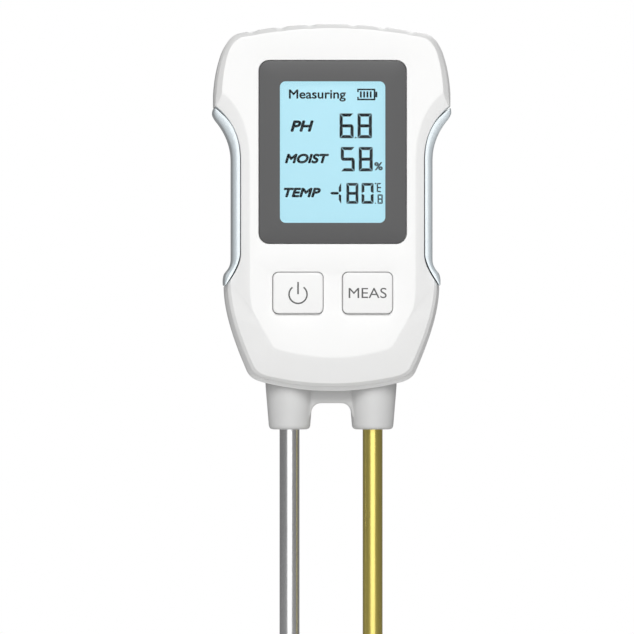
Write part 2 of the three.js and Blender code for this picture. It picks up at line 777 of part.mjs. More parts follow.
function silverProbe() {
  const bore = [
    [SENSOR_BORE_R, STUD_TOP],
    [SENSOR_BORE_R, SENSOR_WELL],
    [0, SENSOR_WELL],
  ];
  return turned([...probeSkin(), ...bore], -PROBE_X, 0);
}

function temperatureSensor() {
  const profile = [
    [0, SENSOR_WELL + 0.3],
    [0.65, SENSOR_WELL + 0.8],
    [0.65, SENSOR_WELL + 3.5],
    [0.45, SENSOR_WELL + 4.2],
    [0.45, STUD_TOP + 0.6],
    [0, STUD_TOP + 0.6],
  ];
  return turned(profile, -PROBE_X, 0, 10);
}

function probeSeal(side) {
  const section = new THREE.TorusGeometry(2.42, 0.42, 6, 18);
  return toSolid(section.translate(side * PROBE_X, 0, 30));
}

function probeNut(side) {
  const body = toSolid(
    new THREE.CylinderGeometry(3.2, 3.2, 2.4, 6).rotateX(Math.PI / 2).translate(side * PROBE_X, 0, 40.2),
  );
  return cut(body, turned([[0, 38], [1.6, 38], [1.6, 43], [0, 43]], side * PROBE_X, 0, 16));
}

function probeTerminal(side) {
  const x = side * PROBE_X;
  const ringPart = turned([[0, 38.2], [3.1, 38.2], [3.1, 38.8], [0, 38.8]], x, 0, 20);
  const tail = box(x - 1, x + 1, 2, 6.5, 38.2, 38.8);
  return cut(add(ringPart, tail), turned([[0, 37], [1.6, 37], [1.6, 40], [0, 40]], x, 0, 16));
}

const probeLead = (side) =>
  wire(
    [
      [side * PROBE_X, 5.6, 39.6],
      [side * PROBE_X, 5.4, 42.5],
      [side * 9, 3, 45.6],
      [side * 7, -1.5, 47.2],
      [side * 6, -3.9, 48],
    ],
    0.6,
  );

const sensorLead = () =>
  wire(
    [
      [-PROBE_X, 0, STUD_TOP + 0.9],
      [-PROBE_X + 0.6, 0, 47.2],
      [-7, -1.6, 50.4],
      [-3.5, -3.4, 52.4],
      [-2, -4.25, 54.5],
    ],
    0.45,
  );

// ---------------------------------------------------------------- assembly

const soilMeter = new THREE.Group();

function place(name, solid, surface) {
  const mesh = new THREE.Mesh(toGeometry(solid), surface);
  mesh.name = name;
  soilMeter.add(mesh);
}

const SIDES = [
  ["left", -1],
  ["right", 1],
];

place("front_shell", frontShell(), whiteShell);
place("rear_shell", rearShell(), whiteShell);
for (const [word, side] of SIDES) place(`side_grip_${word}`, sideGrip(side), gripSilver);
place("battery_cover", batteryCover(), whiteShell);
bothSides(SCREW_POSTS).forEach((at, i) => place(`housing_screw_${i + 1}`, housingScrew(at), steel));

place("display_lens", displayLens(), lensGrey);
place("display_gasket", displayGasket(), foamBlack);
place("lcd_glass", lcdGlass(), lcdBlue);
place("lcd_frame", lcdFrame(), framePlastic);
place("backlight_panel", backlightPanel(), diffuserWhite);
place("zebra_strip", zebraStrip(), rubberBlack);
place("main_board", mainBoard(), boardGreen);
place("controller_chip", controllerChip(), chipBlack);
bothSides(BOARD_POSTS).forEach((at, i) => place(`board_screw_${i + 1}`, boardScrew(at), steel));

for (const [word, side] of [["power", -1], ["measure", 1]]) {
  place(`${word}_button`, button(side), buttonWhite);
  place(`${word}_switch`, switchBody(side), switchBlack);
  place(`${word}_switch_plunger`, switchPlunger(side), buttonWhite);
}

for (const [word, side] of SIDES) {
  place(`battery_${word}`, cell(side), cellJacket);
  place(`battery_spring_${word}`, batterySpring(side), springSteel);
}
place("battery_link_plate", linkPlate(), copperTin);
place("battery_negative_plate", endPlate(-1), copperTin);
place("battery_positive_plate", endPlate(1), copperTin);
place("battery_lead_black", batteryLead(-1), blackInsulation);
place("battery_lead_red", batteryLead(1), redInsulation);

place("probe_holder", probeHolder(), whiteShell);
place("silver_probe", silverProbe(), steel);
place("gold_probe", goldProbe(), brass);
for (const [word, side] of [["silver", -1], ["gold", 1]]) {
  place(`${word}_probe_seal`, probeSeal(side), rubberBlack);
  place(`${word}_probe_nut`, probeNut(side), steel);
  place(`${word}_probe_terminal`, probeTerminal(side), copperTin);
  place(`${word}_probe_lead`, probeLead(side), side < 0 ? blackInsulation : redInsulation);
}
place("temperature_sensor", temperatureSensor(), copperTin);
place("sensor_lead", sensorLead(), yellowInsulation);

export default soilMeter;
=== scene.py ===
"""Handheld soil meter: the finished surfaces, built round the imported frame.

Metres, +Z up, display towards -Y. Meshes are drawn in millimetres and scaled once, when placed."""

import json
import math

import bmesh
import bpy
from mathutils import Matrix, Vector


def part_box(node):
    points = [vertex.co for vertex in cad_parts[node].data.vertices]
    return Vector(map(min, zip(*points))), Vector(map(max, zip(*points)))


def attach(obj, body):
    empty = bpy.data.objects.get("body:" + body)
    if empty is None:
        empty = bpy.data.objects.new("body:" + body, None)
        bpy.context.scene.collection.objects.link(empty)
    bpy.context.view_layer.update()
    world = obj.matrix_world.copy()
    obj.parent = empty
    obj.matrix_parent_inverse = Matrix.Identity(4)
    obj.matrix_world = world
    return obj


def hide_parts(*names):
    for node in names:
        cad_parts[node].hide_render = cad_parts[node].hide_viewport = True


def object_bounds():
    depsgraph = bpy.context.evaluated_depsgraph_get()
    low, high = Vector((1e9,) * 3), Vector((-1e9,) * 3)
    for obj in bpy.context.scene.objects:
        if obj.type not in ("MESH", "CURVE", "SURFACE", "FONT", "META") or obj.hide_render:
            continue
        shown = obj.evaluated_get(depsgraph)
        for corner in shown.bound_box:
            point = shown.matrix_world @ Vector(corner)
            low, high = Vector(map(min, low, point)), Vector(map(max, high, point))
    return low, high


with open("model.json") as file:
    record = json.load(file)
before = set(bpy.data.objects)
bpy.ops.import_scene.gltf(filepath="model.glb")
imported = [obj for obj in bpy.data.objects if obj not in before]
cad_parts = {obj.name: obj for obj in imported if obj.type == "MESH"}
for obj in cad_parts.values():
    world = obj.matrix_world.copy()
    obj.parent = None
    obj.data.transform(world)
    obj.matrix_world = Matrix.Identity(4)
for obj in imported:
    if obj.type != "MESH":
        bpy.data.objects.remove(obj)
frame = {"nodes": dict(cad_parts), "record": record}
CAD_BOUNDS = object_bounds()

bl_info = {
    "name": "Soil meter",
    "version": (1, 0, 0),
    "blender": (4, 5, 0),
    "location": "View3D > Sidebar > Soil meter",
    "description": "Builds a handheld soil meter with a lit display and two probes",
    "category": "Add Mesh",
}

MM = 0.001
PRINT = 0.02  # how thick printing is, and how far it lies in front of the display glass

# ------------------------------------------------------------------ what the frame gives


def cad_box(node):
    """A node's lowest and highest corner, in millimetres."""
    low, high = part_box(node)
    return low / MM, high / MM


def cad_middle(node):
    low, high = cad_box(node)
    return (low + high) / 2


FACE_Y = cad_box("front_shell")[0].y
BACK_Y = cad_box("rear_shell")[1].y
LENS_MIDDLE = cad_middle("display_lens")
LENS_LOW, LENS_HIGH = cad_box("display_lens")
LENS_WIDTH, LENS_HEIGHT = LENS_HIGH.x - LENS_LOW.x, LENS_HIGH.z - LENS_LOW.z
GLASS_PRINT_Y = cad_box("lcd_glass")[0].y - PRINT
PROBE_X = cad_middle("gold_probe").x
SCREW_SPOTS = [cad_middle(f"housing_screw_{i}") for i in range(1, 5)]
BOARD_SCREW_SPOTS = [cad_middle(f"board_screw_{i}") for i in range(1, 5)]

# ------------------------------------------------------------------ settings


def length(name, description, default):
    """A length setting, with its default given in millimetres."""
    return bpy.props.FloatProperty(
        name=name,
        description=description,
        default=default * MM,
        unit="LENGTH",
        precision=5,
    )


def colour(name, description, default):
    return bpy.props.FloatVectorProperty(
        name=name,
        description=description,
        default=default,
        size=3,
        min=0,
        max=1,
        subtype="COLOR",
    )


class MouldingSettings(bpy.types.PropertyGroup):
    """Housing mouldings and their silver side grips."""

    shell_colour: colour("Shell", "Colour of the housing", (0.83, 0.83, 0.825))
    button_colour: colour("Buttons", "Colour of the button caps", (0.81, 0.81, 0.805))
    grip_colour: colour("Grips", "Colour of the side grips' lacquer", (0.62, 0.68, 0.71))
    seam: length("Seam", "Gap between the two halves of the housing", 0.3)
    lip: length("Lip", "Rounding of the edges of openings", 0.18)
    button_edge: length("Button edge", "Rounding of a button's front edge", 0.42)


class DisplaySettings(bpy.types.PropertyGroup):
    """The lens, the lit display behind it and what is printed on both."""

    window_width: length("Window width", "Width of the clear window", 26.4)
    window_height: length("Window height", "Height of the clear window", 35.4)
    window_corner: length("Window corner", "Corner radius of the clear window", 1.45)
    border_colour: colour("Border", "Colour printed behind the lens", (0.08, 0.08, 0.081))
    lit_colour: colour("Lit colour", "Colour of the lit display", (0.445, 0.77, 0.885))
    ink_colour: colour("Ink", "Colour of the digits and words", (0.012, 0.018, 0.022))
    legend_colour: colour("Legends", "Colour of the legends on the buttons", (0.075, 0.075, 0.075))
    glow: bpy.props.FloatProperty(
        name="Glow",
        description="Strength of the display's light",
        default=1.0,
        min=0,
    )


class ProbeSettings(bpy.types.PropertyGroup):
    """The two probes and the holder that they stand in."""

    silver_colour: colour("Silver", "Colour of the silver probe", (0.86, 0.86, 0.865))
    gold_colour: colour("Gold", "Colour of the gold probe", (0.83, 0.69, 0.16))
    point: length("Point", "Length of the pointed end", 8)


class StageSettings(bpy.types.PropertyGroup):
    """Camera, lights and floor."""

    distance: length("Distance", "From the camera to what it aims at", 2400)
    frame_width: length("Frame width", "Width that the camera takes in", 158.5)
    azimuth: bpy.props.FloatProperty(
        name="Azimuth",
        description="Turn of the camera round the meter",
        default=math.radians(-1.6),
        subtype="ANGLE",
    )
    elevation: bpy.props.FloatProperty(
        name="Elevation",
        description="Height of the camera above level",
        default=0,
        subtype="ANGLE",
    )
    surroundings: bpy.props.FloatProperty(
        name="Surroundings",
        description="Brightness that the meter reflects",
        default=0.19,
        min=0,
    )
    floor_colour: colour("Floor", "Colour of the floor", (0.8, 0.8, 0.8))


# ------------------------------------------------------------------ housing outlines

# Half an outline in X and Z, from top middle to bottom middle. Each row after the start is one
# stretch: a curve's control point and end point. All outlines have the same ten stretches, each
# drawn in the same number of steps.
STRETCH_STEPS = (64, 14, 12, 4, 24, 6, 12, 26, 10, 22)

WALL_LINE = (
    (0, 122.1),
    (11.5, 122.1, 23.2, 119.75),  # crown
    (25.9, 119.2, 27.6, 115),  # shoulder
    (29.3, 110.2, 29.6, 104.6),  # upper side
    (29.6, 103, 29.55, 101.4),  # down to the grip's top point
    (23, 96.4, 23, 88),  # into the waist
    (23, 76, 23, 64.5),  # waist
    (23, 61.3, 26.9, 56.3),  # out of the waist
    (26.9, 48.4, 21.1, 35.2),  # flank
    (20.2, 33.1, 17.2, 32.35),  # heel
    (8.6, 30.2, 0, 30.2),  # base
)

EDGE_LINE = (
    (0, 121.6),
    (11.4, 121.6, 22.9, 119.3),
    (25.5, 118.7, 27.1, 114.8),
    (28.75, 110, 29.05, 104.6),
    (29.2, 103, 29.3, 101.45),
    (22.95, 96.4, 22.95, 88),
    (22.95, 76, 22.95, 64.5),
    (22.95, 61.6, 26.2, 57.25),
    (26.3, 48.9, 20.3, 35.9),
    (19.4, 34.1, 16.6, 33.35),
    (8.4, 31.3, 0, 31.3),
)

FACET_LINE = (
    (0, 121),
    (11.4, 121, 22.45, 118.72),
    (25, 118.1, 26.2, 114.65),
    (27.55, 110, 27.7, 104.8),
    (28.2, 103, 29.1, 101.5),
    (22.85, 96.4, 22.85, 88),
    (22.85, 76, 22.85, 64.5),
    (22.85, 61.8, 25.5, 58.1),
    (25.6, 49, 19.4, 36),
    (18.6, 34.7, 16.2, 34),
    (8.2, 32.15, 0, 32.15),
)

PLATEAU_LINE = (
    (0, 120.9),
    (11.4, 120.9, 22.4, 118.6),
    (24.9, 118, 26.1, 114.6),
    (27.4, 110, 27.6, 104.75),
    (27.3, 104.5, 26.9, 104.2),
    (20.7, 98.9, 20.7, 86.5),
    (20.7, 76, 20.7, 56.5),
    (20.7, 52.4, 19.9, 50),
    (17.6, 46, 15.3, 42),
    (14.5, 40.65, 12.5, 40.3),
    (6.3, 38.6, 0, 38.6),
)

INNER_LINE = (
    (0, 120.1),
    (11.2, 120.1, 22.4, 117.8),
    (24.6, 117.3, 25.8, 114.2),
    (27.3, 109.5, 27.6, 104.5),
    (27.6, 103.4, 27.2, 102.3),
    (21, 97.2, 21, 88),
    (21, 76, 21, 64.5),
    (21, 61, 24.7, 56),
    (24.9, 49, 19.5, 36.6),
    (18.8, 34.8, 16.6, 34.3),
    (8.4, 32.2, 0, 32.2),
)

FACE_BACK_LINE = (
    (0, 119.5),
    (11, 119.5, 21.8, 117.3),
    (23.9, 116.8, 25, 114),
    (26.2, 109.5, 26.4, 104.2),
    (26.2, 103.4, 25.6, 102.6),
    (19.7, 97, 19.7, 86.5),
    (19.7, 76, 19.7, 56.5),
    (19.7, 52.8, 18.9, 50.6),
    (16.8, 46.6, 14.6, 42.8),
    (13.9, 41.6, 12.1, 41.3),
    (6.2, 39.6, 0, 39.6),
)

BACK_EDGE_LINE = (
    (0, 120.9),
    (11, 120.9, 22.5, 118.6),
    (25, 118, 26.4, 114.4),
    (28, 109.8, 28.3, 104.4),
    (28.3, 103, 28, 101.5),
    (22.2, 96.6, 22.2, 88),
    (22.2, 76, 22.2, 64.5),
    (22.2, 61.2, 25.7, 56.4),
    (25.6, 48.8, 19.9, 36.3),
    (19.1, 34.5, 16.6, 33.7),
    (8.2, 31.5, 0, 31.5),
)

BACK_FLAT_LINE = (
    (0, 118.1),
    (10, 118.1, 20.6, 116),
    (22.6, 115.6, 23.6, 112.8),
    (25, 108.8, 25.3, 103.6),
    (25.2, 102, 24.6, 100.6),
    (20, 96, 20, 87),
    (20, 76, 20, 64),
    (20, 60, 22.4, 56),
    (22.6, 49, 17.6, 38.8),
    (16.8, 37, 14.4, 36.4),
    (7, 34.6, 0, 34.6),
)

BACK_INNER_LINE = (
    (0, 118),
    (10, 118, 20.4, 115.8),
    (22.4, 115.4, 23.4, 112.6),
    (24.6, 108.6, 24.9, 103.4),
    (24.8, 102, 24.2, 100.8),
    (19.3, 96.2, 19.3, 87),
    (19.3, 76, 19.3, 64),
    (19.3, 60.2, 22, 56),
    (22.2, 49, 17.4, 39),
    (16.6, 37.4, 14.2, 36.8),
    (7, 35, 0, 35),
)

# How far back the front's lines lie: the facet by its slope from the face, edge and wall behind the
# line before them. The rows give a value for each of the eleven ends of stretches.
FACET_SLOPE = 0.5
EDGE_DROP = (0.9, 1, 1.4, 1.7, 0.35, 0.3, 0.3, 0.95, 1.15, 1.2, 1.25)
WALL_DROP = (1, 1, 1.3, 1.6, 1, 0.4, 0.4, 2.7, 3.2, 2.4, 2.5)
UNDERCUT = (0, 0, 0, 0, 0, 0, 0, 0, 0, 0.7, 1)  # how much of the rim's slope is a step under its edge

# Where the back's lines lie in Y.
BACK_WALL_DEPTHS = (9, 9, 9, 9, 11.4, 12.4, 12.4, 9.8, 9, 9, 9)
BACK_EDGE_DEPTHS = (12.9, 12.9, 12.9, 12.9, 13.3, 13.6, 13.6, 13.1, 12.9, 12.9, 12.9)

FACE_WALL = 2.4
BACK_WALL = 2.0
INNER_FRONT, INNER_BACK = -8.6, 9.6  # where the side walls end inside and the slopes begin
SEAM_LEDGE = 0.07  # share of the wall's thickness that the edge at the seam is cut back by
SEAM_STEP = 0.16  # height of that edge
FRONT_ROUNDING = (0.1, 0.3, 0.1, 0.12, 0.12, 0.4)
BACK_ROUNDING = (0.1, 3.0, 2.6, 2.4)
PLATEAU_MARGIN = 0.7  # width of the strip of mesh along the edge of the face
BACK_MARGIN = 0.6  # where the strip along the back's edge ends, as a share of the way to the inner line
INSET_EASING = 12  # how many times an inset's directions are averaged with their neighbours
SCALLOP_SPOTS = (5.4, 12.6, 19.8)
SCALLOP_HALF = 1.3
SCALLOP_DEPTH = 0.27
SCALLOP_END = 0.12  # depth at the facet, where the grooves run out
CROWN_FROM = 116
CORNER_STEPS = 8
LIP_STEPS = 4


def quadratic(a, control, b, t):
    return a * (1 - t) ** 2 + control * 2 * t * (1 - t) + b * t**2


def eased(t):
    return t * t * (3 - 2 * t)


def level(y):
    return (y,) * (len(STRETCH_STEPS) + 1)


def ring(line, depths):
    """The closed ring of an outline: the given half in +X, then its mirror image."""
    start = Vector(line[0])
    half = [Vector((start.x, depths[0], start.y))]
    for i, (control_x, control_z, end_x, end_z) in enumerate(line[1:]):
        control, end = Vector((control_x, control_z)), Vector((end_x, end_z))
        for step in range(1, STRETCH_STEPS[i] + 1):
            t = step / STRETCH_STEPS[i]
            flat = quadratic(start, control, end, t)
            y = depths[i] + (depths[i + 1] - depths[i]) * eased(t)
            half.append(Vector((flat.x, y, flat.y)))
        start = end
    mirrored = [Vector((-p.x, p.y, p.z)) for p in reversed(half[1:-1])]
    return half + mirrored


def sloped(points, nearer, slope):
    """A ring that lies back from another one by a constant slope."""
    result = []
    for p in points:
        flat = min(distance_to(p, a, b) for a, b in zip(nearer, nearer[1:] + nearer[:1]))
        result.append(Vector((p.x, nearer[0].y + flat * slope, p.z)))
    return result


def distance_to(point, a, b):
    """From a point to the line between two others, seen from the front."""
    along, to_point = (b - a).xz, (point - a).xz
    t = min(1, max(0, to_point.dot(along) / max(along.length_squared, 1e-9)))
    return (to_point - along * t).length


def behind(points, before, drops):
    """A ring moved back from the one before it."""
    back = ring(WALL_LINE, drops)
    return [Vector((p.x, q.y + drop.y, p.z)) for p, q, drop in zip(points, before, back)]


def undercut(wall, edge):
    """The ring between a wall and its edge: halfway up the slope, or at the foot of a step."""
    result = []
    for a, b, share in zip(wall, edge, ring(WALL_LINE, UNDERCUT)):
        halfway, step = a.lerp(b, 0.5), Vector((b.x, a.y, b.z))
        result.append(halfway.lerp(step, share.y))
    return result


def scalloped(points, depth):
    """The same ring with shallow grooves across its crown."""
    result = []
    for p in points:
        nearest = min(abs(abs(p.x) - spot) for spot in SCALLOP_SPOTS) / SCALLOP_HALF
        dip = depth * (1 - nearest**2) if nearest < 1 and p.z > CROWN_FROM else 0
        result.append(Vector((p.x, p.y, p.z - dip)))
    return result


def between(first, second, amount):
    return [a.lerp(b, amount) for a, b in zip(first, second)]


def inset(points, amount):
    """A ring moved inwards by the same amount, with the directions eased round sharp corners."""
    inwards = []
    for before, after in zip(points[-1:] + points[:-1], points[1:] + points[:1]):
        along = (after - before).normalized()
        inwards.append(Vector((along.z, 0, -along.x)))
    for _ in range(INSET_EASING):
        neighbours = zip(inwards[-1:] + inwards[:-1], inwards, inwards[1:] + inwards[:1])
        inwards = [(a + b + c) / 3 for a, b, c in neighbours]
    return [p + direction.normalized() * amount for p, direction in zip(points, inwards)]


def softened(rings, radii, parts=4):
    """Rings to skin over, with the corner at each inner ring rounded off by its radius."""
    result = [rings[0]]
    for before, corner, after, radius in zip(rings, rings[1:], rings[2:], radii):
        triples = list(zip(before, corner, after))
        for part in range(parts + 1):
            result.append([corner_point(*triple, radius, part / parts) for triple in triples])
    return result + [rings[-1]]


def corner_point(before, corner, after, radius, t):
    """A point on the rounding of one corner, which never takes up half of either side."""
    most = 0.45
    to_before, to_after = before - corner, after - corner
    start = corner + to_before.normalized() * min(radius, to_before.length * most)
    end = corner + to_after.normalized() * min(radius, to_after.length * most)
    return quadratic(start, corner, end, t)


# ------------------------------------------------------------------ mesh helpers


def start_loop(bm, points):
    verts = [bm.verts.new(p) for p in points]
    for i, vert in enumerate(verts):
        bm.edges.new((verts[i - 1], vert))
    return verts


def loop_edges(bm, verts):
    return [bm.edges.get((verts[i - 1], vert)) for i, vert in enumerate(verts)]


def grow_loop(bm, verts, points):
    """Extrudes a closed loop and sets the new loop on the given points."""
    made = bmesh.ops.extrude_edge_only(bm, edges=loop_edges(bm, verts))["geom"]
    fresh = {item for item in made if isinstance(item, bmesh.types.BMVert)}
    grown = []
    for vert, point in zip(verts, points):
        partner = next(e.other_vert(vert) for e in vert.link_edges if e.other_vert(vert) in fresh)
        partner.co = point
        grown.append(partner)
    return grown


def skin(bm, rings):
    """Skins over a list of rings and returns the first and the last loop."""
    first = start_loop(bm, rings[0])
    last = first
    for points in rings[1:]:
        last = grow_loop(bm, last, points)
    return first, last


def fill(bm, *loops):
    """Fills the flat area between closed loops."""
    edges = [edge for verts in loops for edge in loop_edges(bm, verts)]
    made = bmesh.ops.triangle_fill(bm, use_beauty=True, use_dissolve=False, edges=edges)["geom"]
    faces = [item for item in made if isinstance(item, bmesh.types.BMFace)]
    if not faces:
        raise RuntimeError("a flat area could not be filled")
    return faces


def full_turn(steps):
    return [2 * math.pi * step / steps for step in range(steps)]


def quarter_turn(steps):
    return [math.pi / 2 * step / steps for step in range(steps + 1)]


def circle_y(radius, x, z, y, steps=36):
    """A circle facing -Y."""
    return [Vector((x + radius * math.cos(a), y, z + radius * math.sin(a))) for a in full_turn(steps)]


def rounded_rect(width, height, corner, x, z, y):
    """A rounded rectangle facing -Y."""
    points = []
    for quarter, (side_x, side_z) in enumerate(((1, 1), (-1, 1), (-1, -1), (1, -1))):
        middle_x = x + side_x * (width / 2 - corner)
        middle_z = z + side_z * (height / 2 - corner)
        for step in range(CORNER_STEPS + 1):
            angle = math.pi / 2 * (quarter + step / CORNER_STEPS)
            on_x, on_z = middle_x + corner * math.cos(angle), middle_z + corner * math.sin(angle)
            points.append(Vector((on_x, y, on_z)))
    return points


def rim(width, height, corner, x, z, y, lip, inward=1):
    """The rings that round the edge of an opening, from the face down into it."""
    rings = []
    for angle in quarter_turn(LIP_STEPS):
        out = lip * (1 - math.sin(angle))
        deep = lip * (1 - math.cos(angle)) * inward
        rings.append(rounded_rect(width + 2 * out, height + 2 * out, corner + out, x, z, y + deep))
    return rings


def rounded_edge(width, height, corner, x, z, y, edge, steps, inward=1):
    """The rings that round a plate's edge, from its side onto its face at Y."""
    rings = []
    for angle in quarter_turn(steps):
        less = edge * (1 - math.cos(angle))
        deep = edge * (1 - math.sin(angle)) * inward
        rings.append(rounded_rect(width - 2 * less, height - 2 * less, corner - less, x, z, y + deep))
    return rings


def new_object(name, data):
    """An object in the scene."""
    obj = bpy.data.objects.new(name, data)
    bpy.context.scene.collection.objects.link(obj)
    return obj


def blank(name, bm):
    """A scratch object in millimetres, with its faces pointing out."""
    bmesh.ops.recalc_face_normals(bm, faces=bm.faces[:])
    mesh = bpy.data.meshes.new(name)
    bm.to_mesh(mesh)
    bm.free()
    return new_object(name, mesh)


def closed_solid(name, rings):
    """A solid skinned over rings, with flat ends."""
    bm = bmesh.new()
    first, last = skin(bm, rings)
    fill(bm, first)
    fill(bm, last)
    return blank(name, bm)


def remove(obj):
    mesh = obj.data
    bpy.data.objects.remove(obj)
    bpy.data.meshes.remove(mesh)


def evaluated_mesh(obj):
    """A new mesh of what an object looks like, with its modifiers or as a curve."""
    bpy.context.view_layer.update()
    return bpy.data.meshes.new_from_object(obj.evaluated_get(bpy.context.evaluated_depsgraph_get()))


def apply_modifiers(obj):
    made = evaluated_mesh(obj)
    old = obj.data
    obj.modifiers.clear()
    obj.data = made
    bpy.data.meshes.remove(old)


def curve_mesh(curve):
    """The mesh that a curve or a text makes. The curve itself is removed."""
    holder = new_object(curve.name, curve)
    mesh = evaluated_mesh(holder)
    bpy.data.objects.remove(holder)
    bpy.data.curves.remove(curve)
    return mesh


def combine(obj, others, operation, solver="EXACT"):
    """Joins solids to a solid, or cuts them from it."""
    for other in others:
        step = obj.modifiers.new(operation.lower(), "BOOLEAN")
        step.operation = operation
        step.solver = solver
        step.object = other
    apply_modifiers(obj)
    for other in others:
        remove(other)
    return obj


def box_solid(low, high, edge=0):
    """A box between two corners, with its edges rounded if a radius is given."""
    bm = bmesh.new()
    bmesh.ops.create_cube(bm, size=1)
    low, high = Vector(low), Vector(high)
    bmesh.ops.scale(bm, vec=high - low, verts=bm.verts)
    bmesh.ops.translate(bm, vec=(low + high) / 2, verts=bm.verts)
    if edge:
        bevel(bm, bm.edges[:], edge, 2)
    return blank("box", bm)


def bevel(bm, edges, offset, segments):
    bmesh.ops.bevel(
        bm,
        geom=edges,
        offset=offset,
        offset_type="OFFSET",
        affect="EDGES",
        segments=segments,
        profile=0.5,
        material=-1,
        clamp_overlap=True,
    )


def bar_y(radius, y0, y1, x, z, steps=36):
    """A round bar along Y."""
    return closed_solid("bar", [circle_y(radius, x, z, y, steps) for y in (y0, y1)])


def bars_at(spots, radius, y0, y1, steps=36):
    """The same round bar at each of some spots."""
    return [bar_y(radius, y0, y1, spot.x, spot.z, steps) for spot in spots]


def extruded_y(outline, half):
    """A flat outline in X and Z, drawn out along Y to both sides."""
    return closed_solid("extrusion", [[Vector((x, y, z)) for x, z in outline] for y in (-half, half)])


def spun(profile, x, steps=72):
    """A profile of (radius, z) pairs turned about a vertical axis."""
    bm = bmesh.new()
    verts = [bm.verts.new((x + radius, 0, z)) for radius, z in profile]
    edges = [bm.edges.new(pair) for pair in zip(verts, verts[1:])]
    bmesh.ops.spin(
        bm,
        geom=verts + edges,
        cent=(x, 0, 0),
        axis=(0, 0, 1),
        angle=2 * math.pi,
        steps=steps,
        use_merge=True,
    )
    bmesh.ops.remove_doubles(bm, verts=bm.verts, dist=1e-4)
    return blank("turned", bm)


def place(obj, name, body, finishes, replaces=(), sharp=35):
    """Scales a finished solid to metres, names it, gives it its finishes and puts it on its body.

    A face's material index says which of the finishes it has. Edges above the sharp angle, in
    degrees, aren't shaded smooth."""
    obj.name = name
    obj.data.name = name
    obj.data.transform(Matrix.Scale(MM, 4))
    faces = [face.material_index for face in obj.data.polygons]
    obj.data.materials.clear()
    for finish in finishes:
        obj.data.materials.append(finish_named(finish))
    obj.data.polygons.foreach_set("material_index", [min(i, len(finishes) - 1) for i in faces])
    obj.data.polygons.foreach_set("use_smooth", [True] * len(obj.data.polygons))
    obj.data.set_sharp_from_angle(angle=math.radians(sharp))
    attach(obj, body)
    if replaces:
        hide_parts(*replaces)
    return obj


# ------------------------------------------------------------------ finishes

VECTOR, FLOAT = "NodeSocketVector", "NodeSocketFloat"
MIX_A, MIX_B, MIX_RESULT = 6, 7, 2  # the colour sockets of a mix node, whose names aren't unique
FINE = 0.00002  # height of fine surface patterns, in metres


def new_group(name, inputs, outputs):
    """An empty shader node group with its sockets, and the nodes at its two ends."""
    group = bpy.data.node_groups.new(name, "ShaderNodeTree")
    for label, kind, value in inputs:
        socket = group.interface.new_socket(label, in_out="INPUT", socket_type=kind)
        if value is not None:
            socket.default_value = value
    for label in outputs:
        group.interface.new_socket(label, in_out="OUTPUT", socket_type=FLOAT)
    return group, group.nodes.new("NodeGroupInput"), group.nodes.new("NodeGroupOutput")


def add_node(tree, kind, links=(), **settings):
    """A node with its settings and, as (socket, value or source) pairs, what goes into it."""
    node = tree.nodes.new(kind)
    for key, value in settings.items():
        setattr(node, key, value)
    for socket, source in links:
        if isinstance(source, bpy.types.NodeSocket):
            tree.links.new(source, node.inputs[socket])
        else:
            node.inputs[socket].default_value = source
    return node


def math_node(tree, operation, first, second, clamp=False):
    links = [(0, first), (1, second)]
    return add_node(tree, "ShaderNodeMath", links, operation=operation, use_clamp=clamp).outputs[0]


def mixed_colours(tree, factor, first, second):
    links = [("Factor", factor), (MIX_A, first), (MIX_B, second)]
    return add_node(tree, "ShaderNodeMix", links, data_type="RGBA").outputs[MIX_RESULT]


def stretched(tree, vector, scale):
    links = [("Vector", vector), ("Scale", scale)]
    return add_node(tree, "ShaderNodeMapping", links).outputs["Vector"]


def noise_node(tree, vector, scale, detail, roughness):
    links = [("Vector", vector), ("Scale", scale), ("Detail", detail), ("Roughness", roughness)]
    return add_node(tree, "ShaderNodeTexNoise", links).outputs["Fac"]


def grain_group():
    """Fine moulded grain, with a slow unevenness over some centimetres."""
    tree, source, result = new_group(
        "moulded_grain",
        [("Vector", VECTOR, None), ("Grain", FLOAT, 5000), ("Unevenness", FLOAT, 60)],
        ("Height", "Mottle"),
    )
    fine = noise_node(tree, source.outputs["Vector"], source.outputs["Grain"], 3, 0.6)
    broad = noise_node(tree, source.outputs["Vector"], source.outputs["Unevenness"], 4, 0.55)
    tree.links.new(fine, result.inputs["Height"])
    tree.links.new(broad, result.inputs["Mottle"])
    return tree


def wear_and_edge_highlight_group():
    """Outside edges broken up by noise, partly where hands and tables rub and partly a painted highlight
    on those edges; and faint smudges.
    """
    tree, source, result = new_group(
        "handling_wear",
        [("Vector", VECTOR, None), ("Patches", FLOAT, 400), ("Reach", FLOAT, 6)],
        ("Edges", "Smudges"),
    )
    pointiness = tree.nodes.new("ShaderNodeNewGeometry").outputs["Pointiness"]
    raised = math_node(tree, "SUBTRACT", pointiness, 0.5)
    scaled = math_node(tree, "MULTIPLY", raised, source.outputs["Reach"], clamp=True)
    patches = noise_node(tree, source.outputs["Vector"], source.outputs["Patches"], 3, 0.6)
    tree.links.new(math_node(tree, "MULTIPLY", scaled, patches, clamp=True), result.inputs["Edges"])
    slow = noise_node(tree, source.outputs["Vector"], 95, 5, 0.65)
    contrast = math_node(tree, "MULTIPLY", math_node(tree, "SUBTRACT", slow, 0.48), 3.0, clamp=True)
    tree.links.new(contrast, result.inputs["Smudges"])
    return tree


